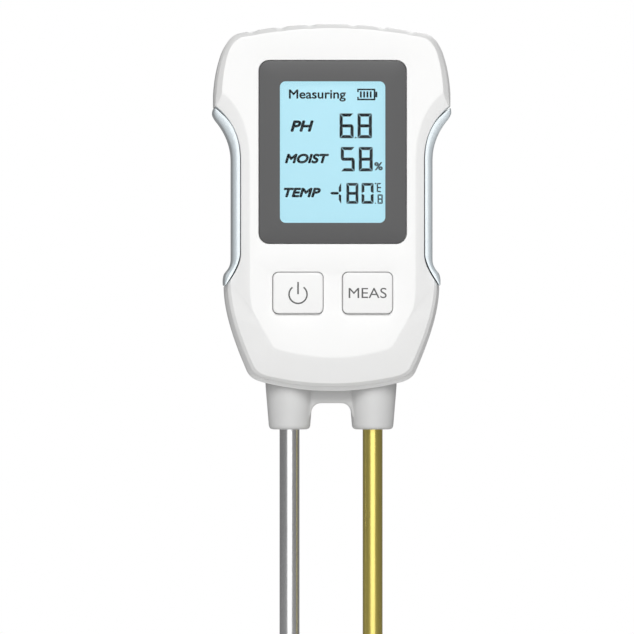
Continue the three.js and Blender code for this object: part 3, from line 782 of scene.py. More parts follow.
def turning_group():
    """Fine lines round a turned rod, and the slow change of tone along it."""
    tree, source, result = new_group(
        "turning_lines",
        [("Vector", VECTOR, None), ("Lines", FLOAT, 8000)],
        ("Height", "Tone"),
    )
    across = stretched(tree, source.outputs["Vector"], (0.01, 0.01, 1))
    lines = noise_node(tree, across, source.outputs["Lines"], 2, 0.6)
    along = stretched(tree, source.outputs["Vector"], (1, 1, 0.06))
    tone = noise_node(tree, along, 900, 3, 0.6)
    tree.links.new(lines, result.inputs["Height"])
    tree.links.new(tone, result.inputs["Tone"])
    return tree


def flake_group():
    """Metal flakes in a lacquer."""
    tree, source, result = new_group(
        "metal_flakes",
        [("Vector", VECTOR, None), ("Flakes", FLOAT, 9000)],
        ("Sparkle",),
    )
    links = [("Vector", source.outputs["Vector"]), ("Scale", source.outputs["Flakes"])]
    cells = add_node(tree, "ShaderNodeTexVoronoi", links)
    bright = add_node(tree, "ShaderNodeSeparateColor", [("Color", cells.outputs["Color"])])
    tree.links.new(bright.outputs["Red"], result.inputs["Sparkle"])
    return tree


GROUP_MAKERS = {
    "moulded_grain": grain_group,
    "handling_wear": wear_and_edge_highlight_group,
    "turning_lines": turning_group,
    "metal_flakes": flake_group,
}


def shared_group(name):
    return bpy.data.node_groups.get(name) or GROUP_MAKERS[name]()


class Finish:
    """A material under construction: a Principled shader and the patterns that drive it."""

    def __init__(self, name, base, roughness, **plain):
        self.material = bpy.data.materials.new(f"{name}_finish")
        self.material.use_nodes = True
        self.tree = self.material.node_tree
        self.shader = self.tree.nodes["Principled BSDF"]
        self.base = (*base, 1)
        self.shader.inputs["Base Color"].default_value = self.base
        self.shader.inputs["Roughness"].default_value = roughness
        for label, value in plain.items():
            self.shader.inputs[label.replace("_", " ")].default_value = value
        self.coordinates = add_node(self.tree, "ShaderNodeTexCoord").outputs["Object"]

    def pattern(self, name, **values):
        """The outputs of a shared pattern, laid over the object."""
        node = add_node(self.tree, "ShaderNodeGroup", node_tree=shared_group(name))
        self.tree.links.new(self.coordinates, node.inputs["Vector"])
        for label, value in values.items():
            node.inputs[label].default_value = value
        return node.outputs

    def tint(self, mask, other, amount):
        """Turns the base colour towards another one where a mask is high."""
        current = self.shader.inputs["Base Color"]
        strength = math_node(self.tree, "MULTIPLY", mask, amount, clamp=True)
        first = current.links[0].from_socket if current.is_linked else self.base
        self.tree.links.new(mixed_colours(self.tree, strength, first, (*other, 1)), current)

    def roughen(self, mask, low, high):
        links = [("Value", mask), ("To Min", low), ("To Max", high)]
        spread = add_node(self.tree, "ShaderNodeMapRange", links).outputs["Result"]
        self.tree.links.new(spread, self.shader.inputs["Roughness"])

    def bump(self, height, strength, distance=FINE):
        links = [("Height", height), ("Strength", strength), ("Distance", distance)]
        node = add_node(self.tree, "ShaderNodeBump", links)
        self.tree.links.new(node.outputs["Normal"], self.shader.inputs["Normal"])


def darker(base, factor):
    return tuple(channel * factor for channel in base)


def lighter(base, factor, more=0):
    return tuple(min(1, channel * factor + more) for channel in base)


def moulded(name, base, roughness, grain=5500, bump=0.12, **plain):
    """Moulded plastic: fine grain, faint unevenness, and outside edges lightened, partly as handling
    wear and partly as a painted highlight.
    """
    finish = Finish(name, base, roughness, **plain)
    grain_out = finish.pattern("moulded_grain", Grain=grain)
    wear_and_highlight_out = finish.pattern("handling_wear")
    finish.tint(grain_out["Mottle"], darker(base, 0.965), 0.8)
    # Lightens outside edges: partly handling wear, partly a painted highlight.
    finish.tint(wear_and_highlight_out["Edges"], lighter(base, 1.06, 0.01), 0.35)
    finish.roughen(wear_and_highlight_out["Smudges"], roughness + 0.05, roughness - 0.06)
    finish.bump(grain_out["Height"], bump)
    return finish.material


def turned_metal(name, base, roughness, lines=8000, bump=0.1, **plain):
    """Bright metal with fine turning lines and slight tarnish."""
    finish = Finish(name, base, roughness, Metallic=1.0, **plain)
    lines_out = finish.pattern("turning_lines", Lines=lines)
    wear_and_highlight_out = finish.pattern("handling_wear", Patches=700)
    finish.tint(lines_out["Tone"], darker(base, 0.82), 0.5)
    finish.tint(wear_and_highlight_out["Smudges"], darker(base, 0.9), 0.4)
    finish.roughen(lines_out["Tone"], roughness - 0.04, roughness + 0.08)
    finish.bump(lines_out["Height"], bump)
    return finish.material


def lacquered(name, base):
    """Silver lacquer with metal flakes under a clear coat."""
    finish = Finish(name, base, 0.32, Metallic=0.35, Coat_Weight=0.4, Coat_Roughness=0.15)
    flakes = finish.pattern("metal_flakes")
    wear_and_highlight_out = finish.pattern("handling_wear")
    finish.tint(flakes["Sparkle"], lighter(base, 1.35), 0.35)
    # Lightens outside edges: partly rubbed lacquer, partly a painted highlight.
    finish.tint(wear_and_highlight_out["Edges"], (0.72, 0.76, 0.78), 0.4)
    finish.roughen(wear_and_highlight_out["Smudges"], 0.36, 0.28)
    grain_out = finish.pattern("moulded_grain", Grain=4200)
    finish.bump(grain_out["Height"], 0.08)
    return finish.material


def printed_border(name, base):
    """Dark grey print seen through the lens."""
    finish = Finish(name, base, 0.3, Specular_IOR_Level=0.3, Coat_Weight=0.05, Coat_Roughness=0.08)
    grain_out = finish.pattern("moulded_grain", Grain=7000)
    wear_and_highlight_out = finish.pattern("handling_wear")
    finish.tint(grain_out["Mottle"], darker(base, 0.93), 0.6)
    finish.roughen(wear_and_highlight_out["Smudges"], 0.34, 0.27)
    finish.bump(grain_out["Height"], 0.03, FINE / 2)
    return finish.material


def clear_window(name):
    """The clear part of the lens, with faint wipe marks."""
    plain = {"Transmission_Weight": 1.0, "IOR": 1.15, "Specular_IOR_Level": 0.04}
    finish = Finish(name, (1, 1, 1), 0.03, **plain)
    wear_and_highlight_out = finish.pattern("handling_wear")
    finish.roughen(wear_and_highlight_out["Smudges"], 0.015, 0.04)
    return finish.material


def lit_panel(name, base, glow):
    """Display glass lit from behind, slightly uneven over some centimetres."""
    finish = Finish(name, darker(base, 0.03), 0.25, Emission_Strength=glow, Specular_IOR_Level=0.15)
    grain_out = finish.pattern("moulded_grain", Grain=9000, Unevenness=35)
    least, most = (*darker(base, 0.985), 1), (*lighter(base, 1.015), 1)
    spread = mixed_colours(finish.tree, grain_out["Mottle"], least, most)
    finish.tree.links.new(spread, finish.shader.inputs["Emission Color"])
    finish.roughen(grain_out["Height"], 0.22, 0.3)
    return finish.material


def finish_named(name):
    """The material of that name, made the first time it is asked for."""
    made = bpy.data.materials.get(f"{name}_finish")
    return made or FINISH_MAKERS[name](name, bpy.context.scene.soil_meter)


def fixed(maker, *values, **settings):
    """A finish whose colour isn't one of the meter's settings."""
    return lambda name, _: maker(name, *values, **settings)


CLEAR_COAT = {"Coat_Weight": 0.12, "Coat_Roughness": 0.2}
GOLD_COAT = {"Coat_Weight": 0.6, "Coat_IOR": 1.8}
HOLDER_PAINTED_SHADE = 0.72  # the holder is coloured darker than the shells: painted shade for where it sits under the housing
FINISH_MAKERS = {
    "shell_white": lambda name, s: moulded(name, s.moulding.shell_colour, 0.36, **CLEAR_COAT),
    # The holder's base colour is darkened as painted shade under the housing.
    "holder_white": lambda name, s: moulded(name, darker(s.moulding.shell_colour, HOLDER_PAINTED_SHADE), 0.42),
    "button_white": lambda name, s: moulded(name, s.moulding.button_colour, 0.3, grain=7000, bump=0.05),
    "grip_silver": lambda name, s: lacquered(name, s.moulding.grip_colour),
    "lens_border": lambda name, s: printed_border(name, s.display.border_colour),
    "lens_clear": fixed(clear_window),
    "lcd_lit": lambda name, s: lit_panel(name, s.display.lit_colour, s.display.glow),
    "lcd_edge": fixed(moulded, (0.35, 0.42, 0.42), 0.12, grain=9000, bump=0.02),
    "lcd_ink": lambda name, s: moulded(
        name, s.display.ink_colour, 0.6, grain=9000, bump=0.02, Specular_IOR_Level=0.1
    ),
    "legend_ink": lambda name, s: moulded(name, s.display.legend_colour, 0.45, grain=9000, bump=0.03),
    "probe_silver": lambda name, s: turned_metal(name, s.probes.silver_colour, 0.23, bump=0.05),
    "probe_gold": lambda name, s: turned_metal(name, s.probes.gold_colour, 0.27, bump=0.05, **GOLD_COAT),
    "steel": fixed(turned_metal, (0.55, 0.55, 0.56), 0.28, lines=5000),
    "contact_tin": fixed(turned_metal, (0.6, 0.59, 0.56), 0.32, lines=3500),
    "diffuser_white": fixed(moulded, (0.8, 0.88, 0.9), 0.45),
    "frame_plastic": fixed(moulded, (0.62, 0.62, 0.6), 0.5),
    "foam_black": fixed(moulded, (0.02, 0.02, 0.02), 0.85, grain=2500, bump=0.6),
    "rubber_black": fixed(moulded, (0.015, 0.015, 0.015), 0.7, grain=4000, bump=0.3),
    "board_green": fixed(moulded, (0.02, 0.13, 0.05), 0.35, grain=2200, bump=0.2, Coat_Weight=0.4),
    "part_black": fixed(moulded, (0.02, 0.02, 0.022), 0.5, grain=6000),
    "cell_blue": fixed(moulded, (0.03, 0.13, 0.32), 0.25, grain=9000, bump=0.03, Coat_Weight=0.6),
    "cell_silver": fixed(turned_metal, (0.62, 0.62, 0.62), 0.3, lines=2500),
    "wire_black": fixed(moulded, (0.015, 0.015, 0.015), 0.45, grain=5000),
    "wire_red": fixed(moulded, (0.45, 0.02, 0.015), 0.45, grain=5000),
    "wire_yellow": fixed(moulded, (0.6, 0.4, 0.02), 0.45, grain=5000),
}

# Material slots that have a finish of another name on the pieces inside.
FINISH_OF_SLOT = {"lens_grey": "lens_border", "lcd_blue": "lcd_edge", "cell_jacket": "cell_blue"}


# ------------------------------------------------------------------ housing

# Openings of the face. Three sizes in a row are width, height and corner radius, here and below.
LENS_CORNER = 2.6
LENS_FIT = 0.15  # gap round the lens and behind it
LENS_RECESS_CORNER = 2.7
LENS_LEDGE = (30, 39, 1.5)  # the opening behind the lens
BUTTON_HOLE = (12.8, 10.6, 1.5)

# Radii of the posts that the screws go into and through, and of the holes in them.
SCREW_POST, SCREW_PILOT = 2.8, 1.4
BOARD_POST, BOARD_PILOT = 2, 1.05
REAR_POST, SCREW_WELL, SCREW_HOLE = 3.4, 2.5, 1.5
POST_ROOT = 0.5  # how deep the posts' ends are sunk into the walls
BOARD_FRONT = -6.7
WELL_FLOOR = 5

# The battery cover, its recess, the bay below it and the tub that is the bay's outside.
COVER_WIDTH, COVER_CORNER = 25.8, 1.2
COVER_FOOT, COVER_GAP = 51, 0.3
COVER_FRONT, COVER_BACK = 13.4, 14.9
COVER_RECESS_WIDTH, COVER_RECESS_FOOT, COVER_RECESS_CORNER = 26.3, 50.8, 1.3
COVER_RECESS_FLOOR = 13.2
BAY, BAY_MIDDLE = (22.8, 51, 0.8), 79.5
BAY_FLOOR = 1.9
TUB, TUB_FRONT = (25.8, 54, 1.5), 0.4
TUB_COLLAR, TUB_COLLAR_MIDDLE, TUB_COLLAR_FRONT = (29.4, 60.5, 1.5), 79.55, 11.7
HOOK_X, SPRING_X = 7, 9

# Corners of the opening in the base that the probe holder comes through.
MOUTH_LOW, MOUTH_HIGH = (-17.2, -6.5, 28), (17.2, 6.5, 34.9)


def front_hole(bm, size, x, z, lip, back):
    """A hole through the face with a rounded rim. Returns its loops at the face and at the back."""
    return skin(bm, rim(*size, x, z, FACE_Y, lip) + [rounded_rect(*size, x, z, back)])


def lens_recess(bm, lip, back):
    """The stepped opening that the lens lies in. Returns its loops at the face and at the back."""
    size = (LENS_WIDTH + 2 * LENS_FIT, LENS_HEIGHT + 2 * LENS_FIT, LENS_RECESS_CORNER)
    z, floor = LENS_MIDDLE.z, LENS_HIGH.y + LENS_FIT
    rings = rim(*size, 0, z, FACE_Y, lip) + [rounded_rect(*size, 0, z, floor)]
    rings += [rounded_rect(*LENS_LEDGE, 0, z, y) for y in (floor, back)]
    return skin(bm, rings)


def front_shell(settings):
    seam = settings.seam / MM / 2
    lip = settings.lip / MM
    back = FACE_Y + FACE_WALL
    plateau = ring(PLATEAU_LINE, level(FACE_Y))
    facet = sloped(ring(FACET_LINE, level(0)), plateau, FACET_SLOPE)
    edge = behind(ring(EDGE_LINE, level(0)), facet, EDGE_DROP)
    wall = behind(ring(WALL_LINE, level(0)), edge, WALL_DROP)
    inner_seam = ring(INNER_LINE, level(-seam))
    outer = softened(
        [
            between(ring(WALL_LINE, level(-seam)), inner_seam, SEAM_LEDGE),
            scalloped(ring(WALL_LINE, level(-seam - SEAM_STEP)), SCALLOP_DEPTH),
            scalloped(wall, SCALLOP_DEPTH),
            scalloped(undercut(wall, edge), 0.9 * SCALLOP_DEPTH),
            scalloped(edge, 0.8 * SCALLOP_DEPTH),
            scalloped(facet, SCALLOP_END),
            plateau,
            inset(plateau, PLATEAU_MARGIN),
        ],
        FRONT_ROUNDING,
    )
    bm = bmesh.new()
    inner = [ring(FACE_BACK_LINE, level(back)), ring(INNER_LINE, level(INNER_FRONT)), inner_seam]
    back_loop, plateau_loop = skin(bm, inner + outer)

    openings = [lens_recess(bm, lip, back)]
    for node in ("power_button", "measure_button"):
        middle = cad_middle(node)
        openings.append(front_hole(bm, BUTTON_HOLE, middle.x, middle.z, lip / 2, back))

    fill(bm, plateau_loop, *[top for top, bottom in openings])
    fill(bm, back_loop, *[bottom for top, bottom in openings])
    shell = blank("front", bm)
    posts = bars_at(SCREW_SPOTS, SCREW_POST, back - POST_ROOT, -seam, 24)
    posts += bars_at(BOARD_SCREW_SPOTS, BOARD_POST, back - POST_ROOT, BOARD_FRONT, 20)
    combine(shell, posts, "UNION")
    pilots = bars_at(SCREW_SPOTS, SCREW_PILOT, -9, 1, 20)
    pilots += bars_at(BOARD_SCREW_SPOTS, BOARD_PILOT, -11, -5, 16)
    return combine(shell, [*pilots, box_solid(MOUTH_LOW, MOUTH_HIGH)], "DIFFERENCE")


def rear_shell(settings):
    seam = settings.seam / MM / 2
    lip = settings.lip / MM
    inner_back = BACK_Y - BACK_WALL
    wall = ring(WALL_LINE, BACK_WALL_DEPTHS)
    edge = ring(BACK_EDGE_LINE, BACK_EDGE_DEPTHS)
    flat = ring(BACK_FLAT_LINE, level(BACK_Y))
    inner_seam = ring(INNER_LINE, level(seam))
    outer = softened(
        [
            between(ring(WALL_LINE, level(seam)), inner_seam, SEAM_LEDGE),
            scalloped(ring(WALL_LINE, level(seam + SEAM_STEP)), SCALLOP_DEPTH),
            scalloped(wall, SCALLOP_DEPTH),
            scalloped(edge, 0.7 * SCALLOP_DEPTH),
            flat,
            between(flat, ring(BACK_INNER_LINE, level(BACK_Y)), BACK_MARGIN),
        ],
        BACK_ROUNDING,
        7,
    )
    bm = bmesh.new()
    inner = [ring(BACK_INNER_LINE, level(inner_back)), ring(INNER_LINE, level(INNER_BACK)), inner_seam]
    inner_loop, flat_loop = skin(bm, inner + outer)

    top, bottom = cad_box("battery_cover")[1].z + COVER_GAP, COVER_RECESS_FOOT
    size, middle = (COVER_RECESS_WIDTH, top - bottom, COVER_RECESS_CORNER), (top + bottom) / 2
    recess = rim(*size, 0, middle, BACK_Y, lip, -1)
    recess.append(rounded_rect(*size, 0, middle, COVER_RECESS_FLOOR))
    recess += [rounded_rect(*BAY, 0, BAY_MIDDLE, y) for y in (COVER_RECESS_FLOOR, BAY_FLOOR)]
    recess_loop, bay_floor = skin(bm, recess)
    tub = [rounded_rect(*TUB_COLLAR, 0, TUB_COLLAR_MIDDLE, y) for y in (inner_back, TUB_COLLAR_FRONT)]
    tub += [rounded_rect(*TUB, 0, BAY_MIDDLE, y) for y in (TUB_COLLAR_FRONT, TUB_FRONT)]
    tub_loop, tub_floor = skin(bm, tub)

    fill(bm, flat_loop, recess_loop)
    fill(bm, bay_floor)
    fill(bm, inner_loop, tub_loop)
    fill(bm, tub_floor)
    shell = blank("rear", bm)
    combine(shell, bars_at(SCREW_SPOTS, REAR_POST, seam, 13.5), "UNION")
    cutters = bars_at(SCREW_SPOTS, SCREW_WELL, WELL_FLOOR, 16, 48)
    cutters += bars_at(SCREW_SPOTS, SCREW_HOLE, -1, WELL_FLOOR + 1)
    for side in (-1, 1):
        hook, spring = side * HOOK_X, side * SPRING_X
        cutters.append(box_solid((hook - 2.4, 11.4, 48.9), (hook + 2.4, 13.3, 54.2)))
        cutters.append(box_solid((spring - 1.5, 3, 52), (spring + 1.5, 4.4, 54.5)))
    combine(shell, [*cutters, box_solid(MOUTH_LOW, MOUTH_HIGH)], "DIFFERENCE")
    round_wells(shell)
    return shell


def round_wells(shell):
    """Rounds the rims of the four screw wells."""
    bm = bmesh.new()
    bm.from_mesh(shell.data)
    rims = [e for e in bm.edges if all(on_well_rim(v.co) for v in e.verts)]
    bevel(bm, rims, 0.25, 3)
    bm.to_mesh(shell.data)
    bm.free()


def on_well_rim(point):
    if abs(point.y - BACK_Y) > 0.01:
        return False
    radii = [math.hypot(point.x - spot.x, point.z - spot.z) for spot in SCREW_SPOTS]
    return any(abs(radius - SCREW_WELL) < 0.02 for radius in radii)


# A grip's outside and inside in X and Z, from its top point down: a start, then each curve's control
# point and end point, and the steps that each curve is drawn in.
GRIP_STEPS = (6, 8, 30, 8, 14, 12)
GRIP_FIT = 0.14  # how much further in than its line a grip's inside lies

GRIP_OUTER = (
    (29.6, 101.05),
    (29.8, 100.6, 29.8, 99.8),
    (29.5, 98.7, 28.6, 97.7),
    (25.1, 93.2, 25.1, 88),
    (25.1, 75, 25.1, 63.2),
    (25.1, 61.5, 26.3, 60.2),
    (27.3, 59.2, 27.05, 56.75),
)

GRIP_INNER = (
    (29.5, 100.95),
    (29.2, 100.7, 28.9, 100.45),
    (28.3, 99.95, 27.8, 99.45),
    (23.3, 95.7, 23.3, 88),
    (23.3, 75, 23.3, 64.5),
    (23.3, 62.9, 24.8, 60.1),
    (25.8, 58.4, 26.98, 56.7),
)


def open_line(line, steps):
    points = [Vector(line[0])]
    for (control_x, control_z, end_x, end_z), count in zip(line[1:], steps):
        start = points[-1]
        control, end = Vector((control_x, control_z)), Vector((end_x, end_z))
        points += [quadratic(start, control, end, step / count) for step in range(1, count + 1)]
    return points


def grip_profile():
    """Pairs of Y and share of the way out, over the front edge, the side and the rear edge."""
    front, rear = cad_box("side_grip_left")[0].y, cad_box("side_grip_left")[1].y
    reach, fullness = 2.4, 0.67
    rounding = []
    for angle in quarter_turn(14):
        rounding.append((reach * (1 - math.cos(angle) ** fullness), math.sin(angle) ** fullness))
    return [(front + y, out) for y, out in rounding] + [(rear - y, out) for y, out in reversed(rounding)]


def side_grip(side):
    outer, inner = open_line(GRIP_OUTER, GRIP_STEPS), open_line(GRIP_INNER, GRIP_STEPS)
    profile = grip_profile()
    sections = []
    for far, edge in zip(outer, inner):
        near = edge + (edge - far).normalized() * GRIP_FIT
        skin_points = [(near.lerp(far, out), y) for y, out in profile]
        back_points = [(near, profile[-1][0]), (near, profile[0][0])]
        sections.append([Vector((side * p.x, y, p.y)) for p, y in skin_points + back_points])
    bm = bmesh.new()
    first, last = skin(bm, sections)
    for verts in (first, last):
        bmesh.ops.contextual_create(bm, geom=loop_edges(bm, verts))
    return blank("grip", bm)


def battery_cover():
    """A plate with a slotted latch tongue, ridges for the finger and two hooks at its foot."""
    top, edge = cad_box("battery_cover")[1].z, 0.3
    size, middle = (COVER_WIDTH, top - COVER_FOOT, COVER_CORNER), (COVER_FOOT + top) / 2
    rings = [rounded_rect(*size, 0, middle, COVER_FRONT)]
    rings += rounded_edge(*size, 0, middle, COVER_BACK, edge, 5, -1)
    cover = closed_solid("cover", rings)
    slots = [box_solid((x - 0.4, 13, 101), (x + 0.4, 16, 110)) for x in (-4.2, 4.2)]
    combine(cover, slots, "DIFFERENCE")
    extras = []
    for ridge in range(4):
        foot = 102.4 + 1.3 * ridge
        extras.append(box_solid((-2.6, 14.5, foot), (2.6, 15, foot + 0.6), 0.18))
    for side in (-1, 1):
        x0, x1 = side * HOOK_X - 2, side * HOOK_X + 2
        extras.append(box_solid((x0, 12.1, 49.6), (x1, 13.1, 52.5), 0.15))
        extras.append(box_solid((x0, 12.3, 51.3), (x1, 13.8, 52.4)))
    return combine(cover, extras, "UNION")


def housing_screw(spot):
    """A pan-head screw with a cross recess, its head towards +Y. Its thread is drawn as grooves."""
    thread, core = 1.1, 1.0
    profile = [(0, 6.7), (1.2, 6.65), (1.7, 6.5), (2.0, 6.15), (2.1, 5.8), (2.1, 5.2), (thread, 5.2)]
    for groove in range(11):
        z = 4.9 - groove
        profile += [(thread, z), (core, z - 0.35), (core, z - 0.6), (thread, z - 0.85)]
    profile += [(core, -6.6), (0.25, -7.8), (0, -7.8)]
    screw = spun(profile, 0, 40)
    screw.data.transform(Matrix.Rotation(math.radians(-90), 4, "X"))
    screw.data.transform(Matrix.Translation((spot.x, 0, spot.z)))
    cross = []
    for half_x, half_z in ((1.25, 0.24), (0.24, 1.25)):
        low = (spot.x - half_x, 5.9, spot.z - half_z)
        cross.append(box_solid(low, (spot.x + half_x, 7, spot.z + half_z)))
    return combine(screw, cross, "DIFFERENCE")


# ------------------------------------------------------------------ display


def display_lens(settings):
    """A clear slab whose border is printed: face index 1 is the clear window."""
    window = (settings.window_width / MM, settings.window_height / MM, settings.window_corner / MM)
    size, z, edge = (LENS_WIDTH, LENS_HEIGHT, LENS_CORNER), LENS_MIDDLE.z, 0.16
    rings = [rounded_rect(*flat, 0, z, LENS_HIGH.y) for flat in (window, size)]
    rings += rounded_edge(*size, 0, z, LENS_LOW.y, edge, LIP_STEPS)
    rings.append(rounded_rect(*window, 0, z, LENS_LOW.y))
    bm = bmesh.new()
    first, last = skin(bm, rings)
    for face in fill(bm, first) + fill(bm, last):
        face.material_index = 1
    return blank("lens", bm)


def lcd_glass():
    """Two panes, the rear one longer: face index 1 is the lit face."""
    low, high = cad_box("lcd_glass")
    thickness, front_height, edge = 1.0, 40.5, 0.08
    rear = box_solid((low.x, high.y - thickness - 0.05, low.z), high, edge)
    front = box_solid((low.x, low.y, high.z - front_height), (high.x, high.y - thickness, high.z), edge)
    glass = combine(front, [rear], "UNION")
    for face in glass.data.polygons:
        if face.center.y < low.y + 0.01:
            face.material_index = 1
    return glass


# The seven bars of a digit, for its width and height, the stroke t and the gap g at the bars' ends.
BARS = {
    "a": lambda w, h, t, g: ((g, h), (w - g, h), (w - t - g, h - t), (t + g, h - t)),
    "d": lambda w, h, t, g: ((g, 0), (w - g, 0), (w - t - g, t), (t + g, t)),
    "f": lambda w, h, t, g: ((0, h - g), (t, h - t - g), (t, h / 2 + t / 2 + g), (0, h / 2 + g)),
    "b": lambda w, h, t, g: ((w, h - g), (w - t, h - t - g), (w - t, h / 2 + t / 2 + g), (w, h / 2 + g)),
    "e": lambda w, h, t, g: ((0, g), (t, t + g), (t, h / 2 - t / 2 - g), (0, h / 2 - g)),
    "c": lambda w, h, t, g: ((w, g), (w - t, t + g), (w - t, h / 2 - t / 2 - g), (w, h / 2 - g)),
    "g": lambda w, h, t, g: (
        (g, h / 2),
        (t / 2 + g, h / 2 + t / 2),
        (w - t / 2 - g, h / 2 + t / 2),
        (w - g, h / 2),
        (w - t / 2 - g, h / 2 - t / 2),
        (t / 2 + g, h / 2 - t / 2),
    ),
}
LIT_BARS = {"0": "abcdef", "1": "bc", "5": "afgcd", "6": "afgecd", "8": "abcdefg", "E": "afged"}


def add_flat(bm, points, y):
    """A thin printed shape facing -Y."""
    loop, _ = skin(bm, [[Vector((x, y, z)) for x, z in points]])
    face = bmesh.ops.contextual_create(bm, geom=loop_edges(bm, loop))["faces"][0]
    made = bmesh.ops.extrude_face_region(bm, geom=[face], use_keep_orig=True)["geom"]
    verts = [item for item in made if isinstance(item, bmesh.types.BMVert)]
    bmesh.ops.translate(bm, vec=(0, -PRINT, 0), verts=verts)


def add_rect(bm, x0, x1, z0, z1, y):
    add_flat(bm, ((x0, z0), (x1, z0), (x1, z1), (x0, z1)), y)


# The display's digits: character, left, foot, width, height, stroke and gap between bars.
DIGITS = (
    ("6", 1.8, 93.5, 3.5, 6.2, 0.78, 0.07),
    ("8", 6.3, 93.5, 3.6, 6.2, 0.78, 0.07),
    ("5", 2.1, 85.2, 3.5, 6.1, 0.78, 0.07),
    ("8", 6.6, 85.2, 3.5, 6.1, 0.78, 0.07),
    ("8", 3.5, 77.1, 3.0, 5.2, 0.7, 0.07),
    ("0", 7.3, 77.1, 3.0, 5.2, 0.7, 0.07),
    ("E", 11.1, 80.0, 1.2, 2.3, 0.34, 0.04),
    ("8", 11.3, 77.1, 1.3, 2.35, 0.34, 0.04),
)
# The decimal points, the minus sign, and the 1 in front of the temperature.
SIGNS = (
    ((5.65, 93.45), (6.0, 93.45), (6.0, 93.85), (5.65, 93.85)),
    ((10.65, 77.1), (10.9, 77.1), (10.9, 77.4), (10.65, 77.4)),
    ((-0.6, 79.75), (-0.15, 80.05), (1.35, 80.05), (1.65, 79.75), (1.35, 79.4), (-0.15, 79.4)),
    ((1.6, 79.95), (2.2, 80.2), (2.2, 82.25), (1.95, 81.95), (1.6, 81.2)),
    ((1.6, 79.5), (2.2, 79.25), (2.2, 77.1), (1.95, 77.4), (1.6, 78.15)),
)


def display_digits():
    """Acidity, moisture and temperature readings with their points and signs."""
    bm = bmesh.new()
    for character, x, z, *shape in DIGITS:
        for bar in LIT_BARS[character]:
            add_flat(bm, [(x + px, z + pz) for px, pz in BARS[bar](*shape)], GLASS_PRINT_Y)
    for points in SIGNS:
        add_flat(bm, points, GLASS_PRINT_Y)
    degree = [(10.8 + 0.2 * math.cos(a), 82.15 + 0.2 * math.sin(a)) for a in full_turn(12)]
    add_flat(bm, degree, GLASS_PRINT_Y)
    return blank("digits", bm)


def battery_mark():
    """The charge mark: an outline with bars in it and a terminal at its right end."""
    y = GLASS_PRINT_Y
    x0, x1, z0, z1, line = 6.2, 10.75, 103.0, 105.9, 0.4
    bm = bmesh.new()
    add_rect(bm, x0, x1, z0, z0 + line, y)
    add_rect(bm, x0, x1, z1 - line, z1, y)
    add_rect(bm, x1 - line, x1, z0 + line + 0.01, z1 - line - 0.01, y)
    add_rect(bm, x0, x0 + line, z1 - 0.85, z1 - line - 0.01, y)
    add_rect(bm, x0, x0 + line, z0 + line + 0.01, z0 + 0.85, y)
    add_rect(bm, x1 + 0.02, x1 + 0.5, z0 + 0.75, z1 - 0.75, y)
    for bar in range(4):
        left = 6.9 + bar * 0.82
        add_rect(bm, left, left + 0.46, z0 + 0.68, z1 - 0.68, y)
    return blank("battery mark", bm)


def lettering(words, x0, x1, z0, cap_height, y, slant=0.0, weight=0.0):
    """Words facing -Y, fitted to a width and a height of capitals.

    The weight is how far strokes spread, in millimetres."""
    mesh, capital = letter_mesh(words, slant), letter_mesh("H", 0)
    tall = max(v.co.y for v in capital.vertices)
    bpy.data.meshes.remove(capital)
    left, right = min(v.co.x for v in mesh.vertices), max(v.co.x for v in mesh.vertices)
    stretch_x = (x1 - x0 - 2 * weight) / (right - left)
    stretch_z = (cap_height - 2 * weight) / tall
    mesh.transform(Matrix.Translation((-left, 0, 0)))
    mesh.transform(Matrix.Diagonal((stretch_x, stretch_z, 1, 1)))
    mesh.transform(Matrix.Rotation(math.radians(90), 4, "X"))
    mesh.transform(Matrix.Translation((x0 + weight, y, z0 + weight)))
    obj = new_object(words, mesh)
    return thickened(obj, weight) if weight else obj


def thickened(obj, weight):
    """Joins copies of flat lettering, shifted all ways, so that its strokes get thicker."""
    copies = []
    for angle in full_turn(8)[1:]:
        copy = new_object("stroke", obj.data.copy())
        copy.data.transform(Matrix.Translation((weight * math.cos(angle), 0, weight * math.sin(angle))))
        copies.append(copy)
    obj.data.transform(Matrix.Translation((weight, 0, 0)))
    return combine(obj, copies, "UNION", "MANIFOLD")


def letter_mesh(words, slant):
    curve = bpy.data.curves.new("lettering", "FONT")
    curve.body = words
    curve.shear = slant
    curve.extrude = PRINT / 2
    curve.resolution_u = 6
    mesh = curve_mesh(curve)
    bm = bmesh.new()
    bm.from_mesh(mesh)
    bmesh.ops.remove_doubles(bm, verts=bm.verts, dist=1e-5)
    bm.to_mesh(mesh)
    bm.free()
    return mesh


def join(objects):
    """Joins scratch objects into the first one."""
    bm = bmesh.new()
    for obj in objects:
        bm.from_mesh(obj.data)
    for obj in objects[1:]:
        remove(obj)
    bm.to_mesh(objects[0].data)
    bm.free()
    return objects[0]


# The display's words: text, left, right, foot, height of capitals, slant and weight.
WORDS = (
    ("Measuring", -10.9, 3.35, 103.4, 2.3, 0, 0.07),
    ("PH", -10.5, -4.7, 95.1, 2.85, 0.24, 0.17),
    ("MOIST", -11.9, -0.85, 87.2, 2.4, 0.24, 0.16),
    ("TEMP", -12.2, -2.9, 78.7, 2.4, 0.24, 0.16),
    ("%", 10.5, 12.6, 85.5, 2.0, 0, 0.08),
)


def display_words():
    return join([lettering(*row[:5], GLASS_PRINT_Y, *row[5:]) for row in WORDS])


# ------------------------------------------------------------------ buttons


BUTTON, BUTTON_FLANGE = (12.5, 10.3, 1.38), (14.1, 11.9, 1.5)
FLANGE_FRONT, FLANGE_BACK = -11.35, -10.6
STEM_RADIUS, STEM_BACK = 1.5, -10


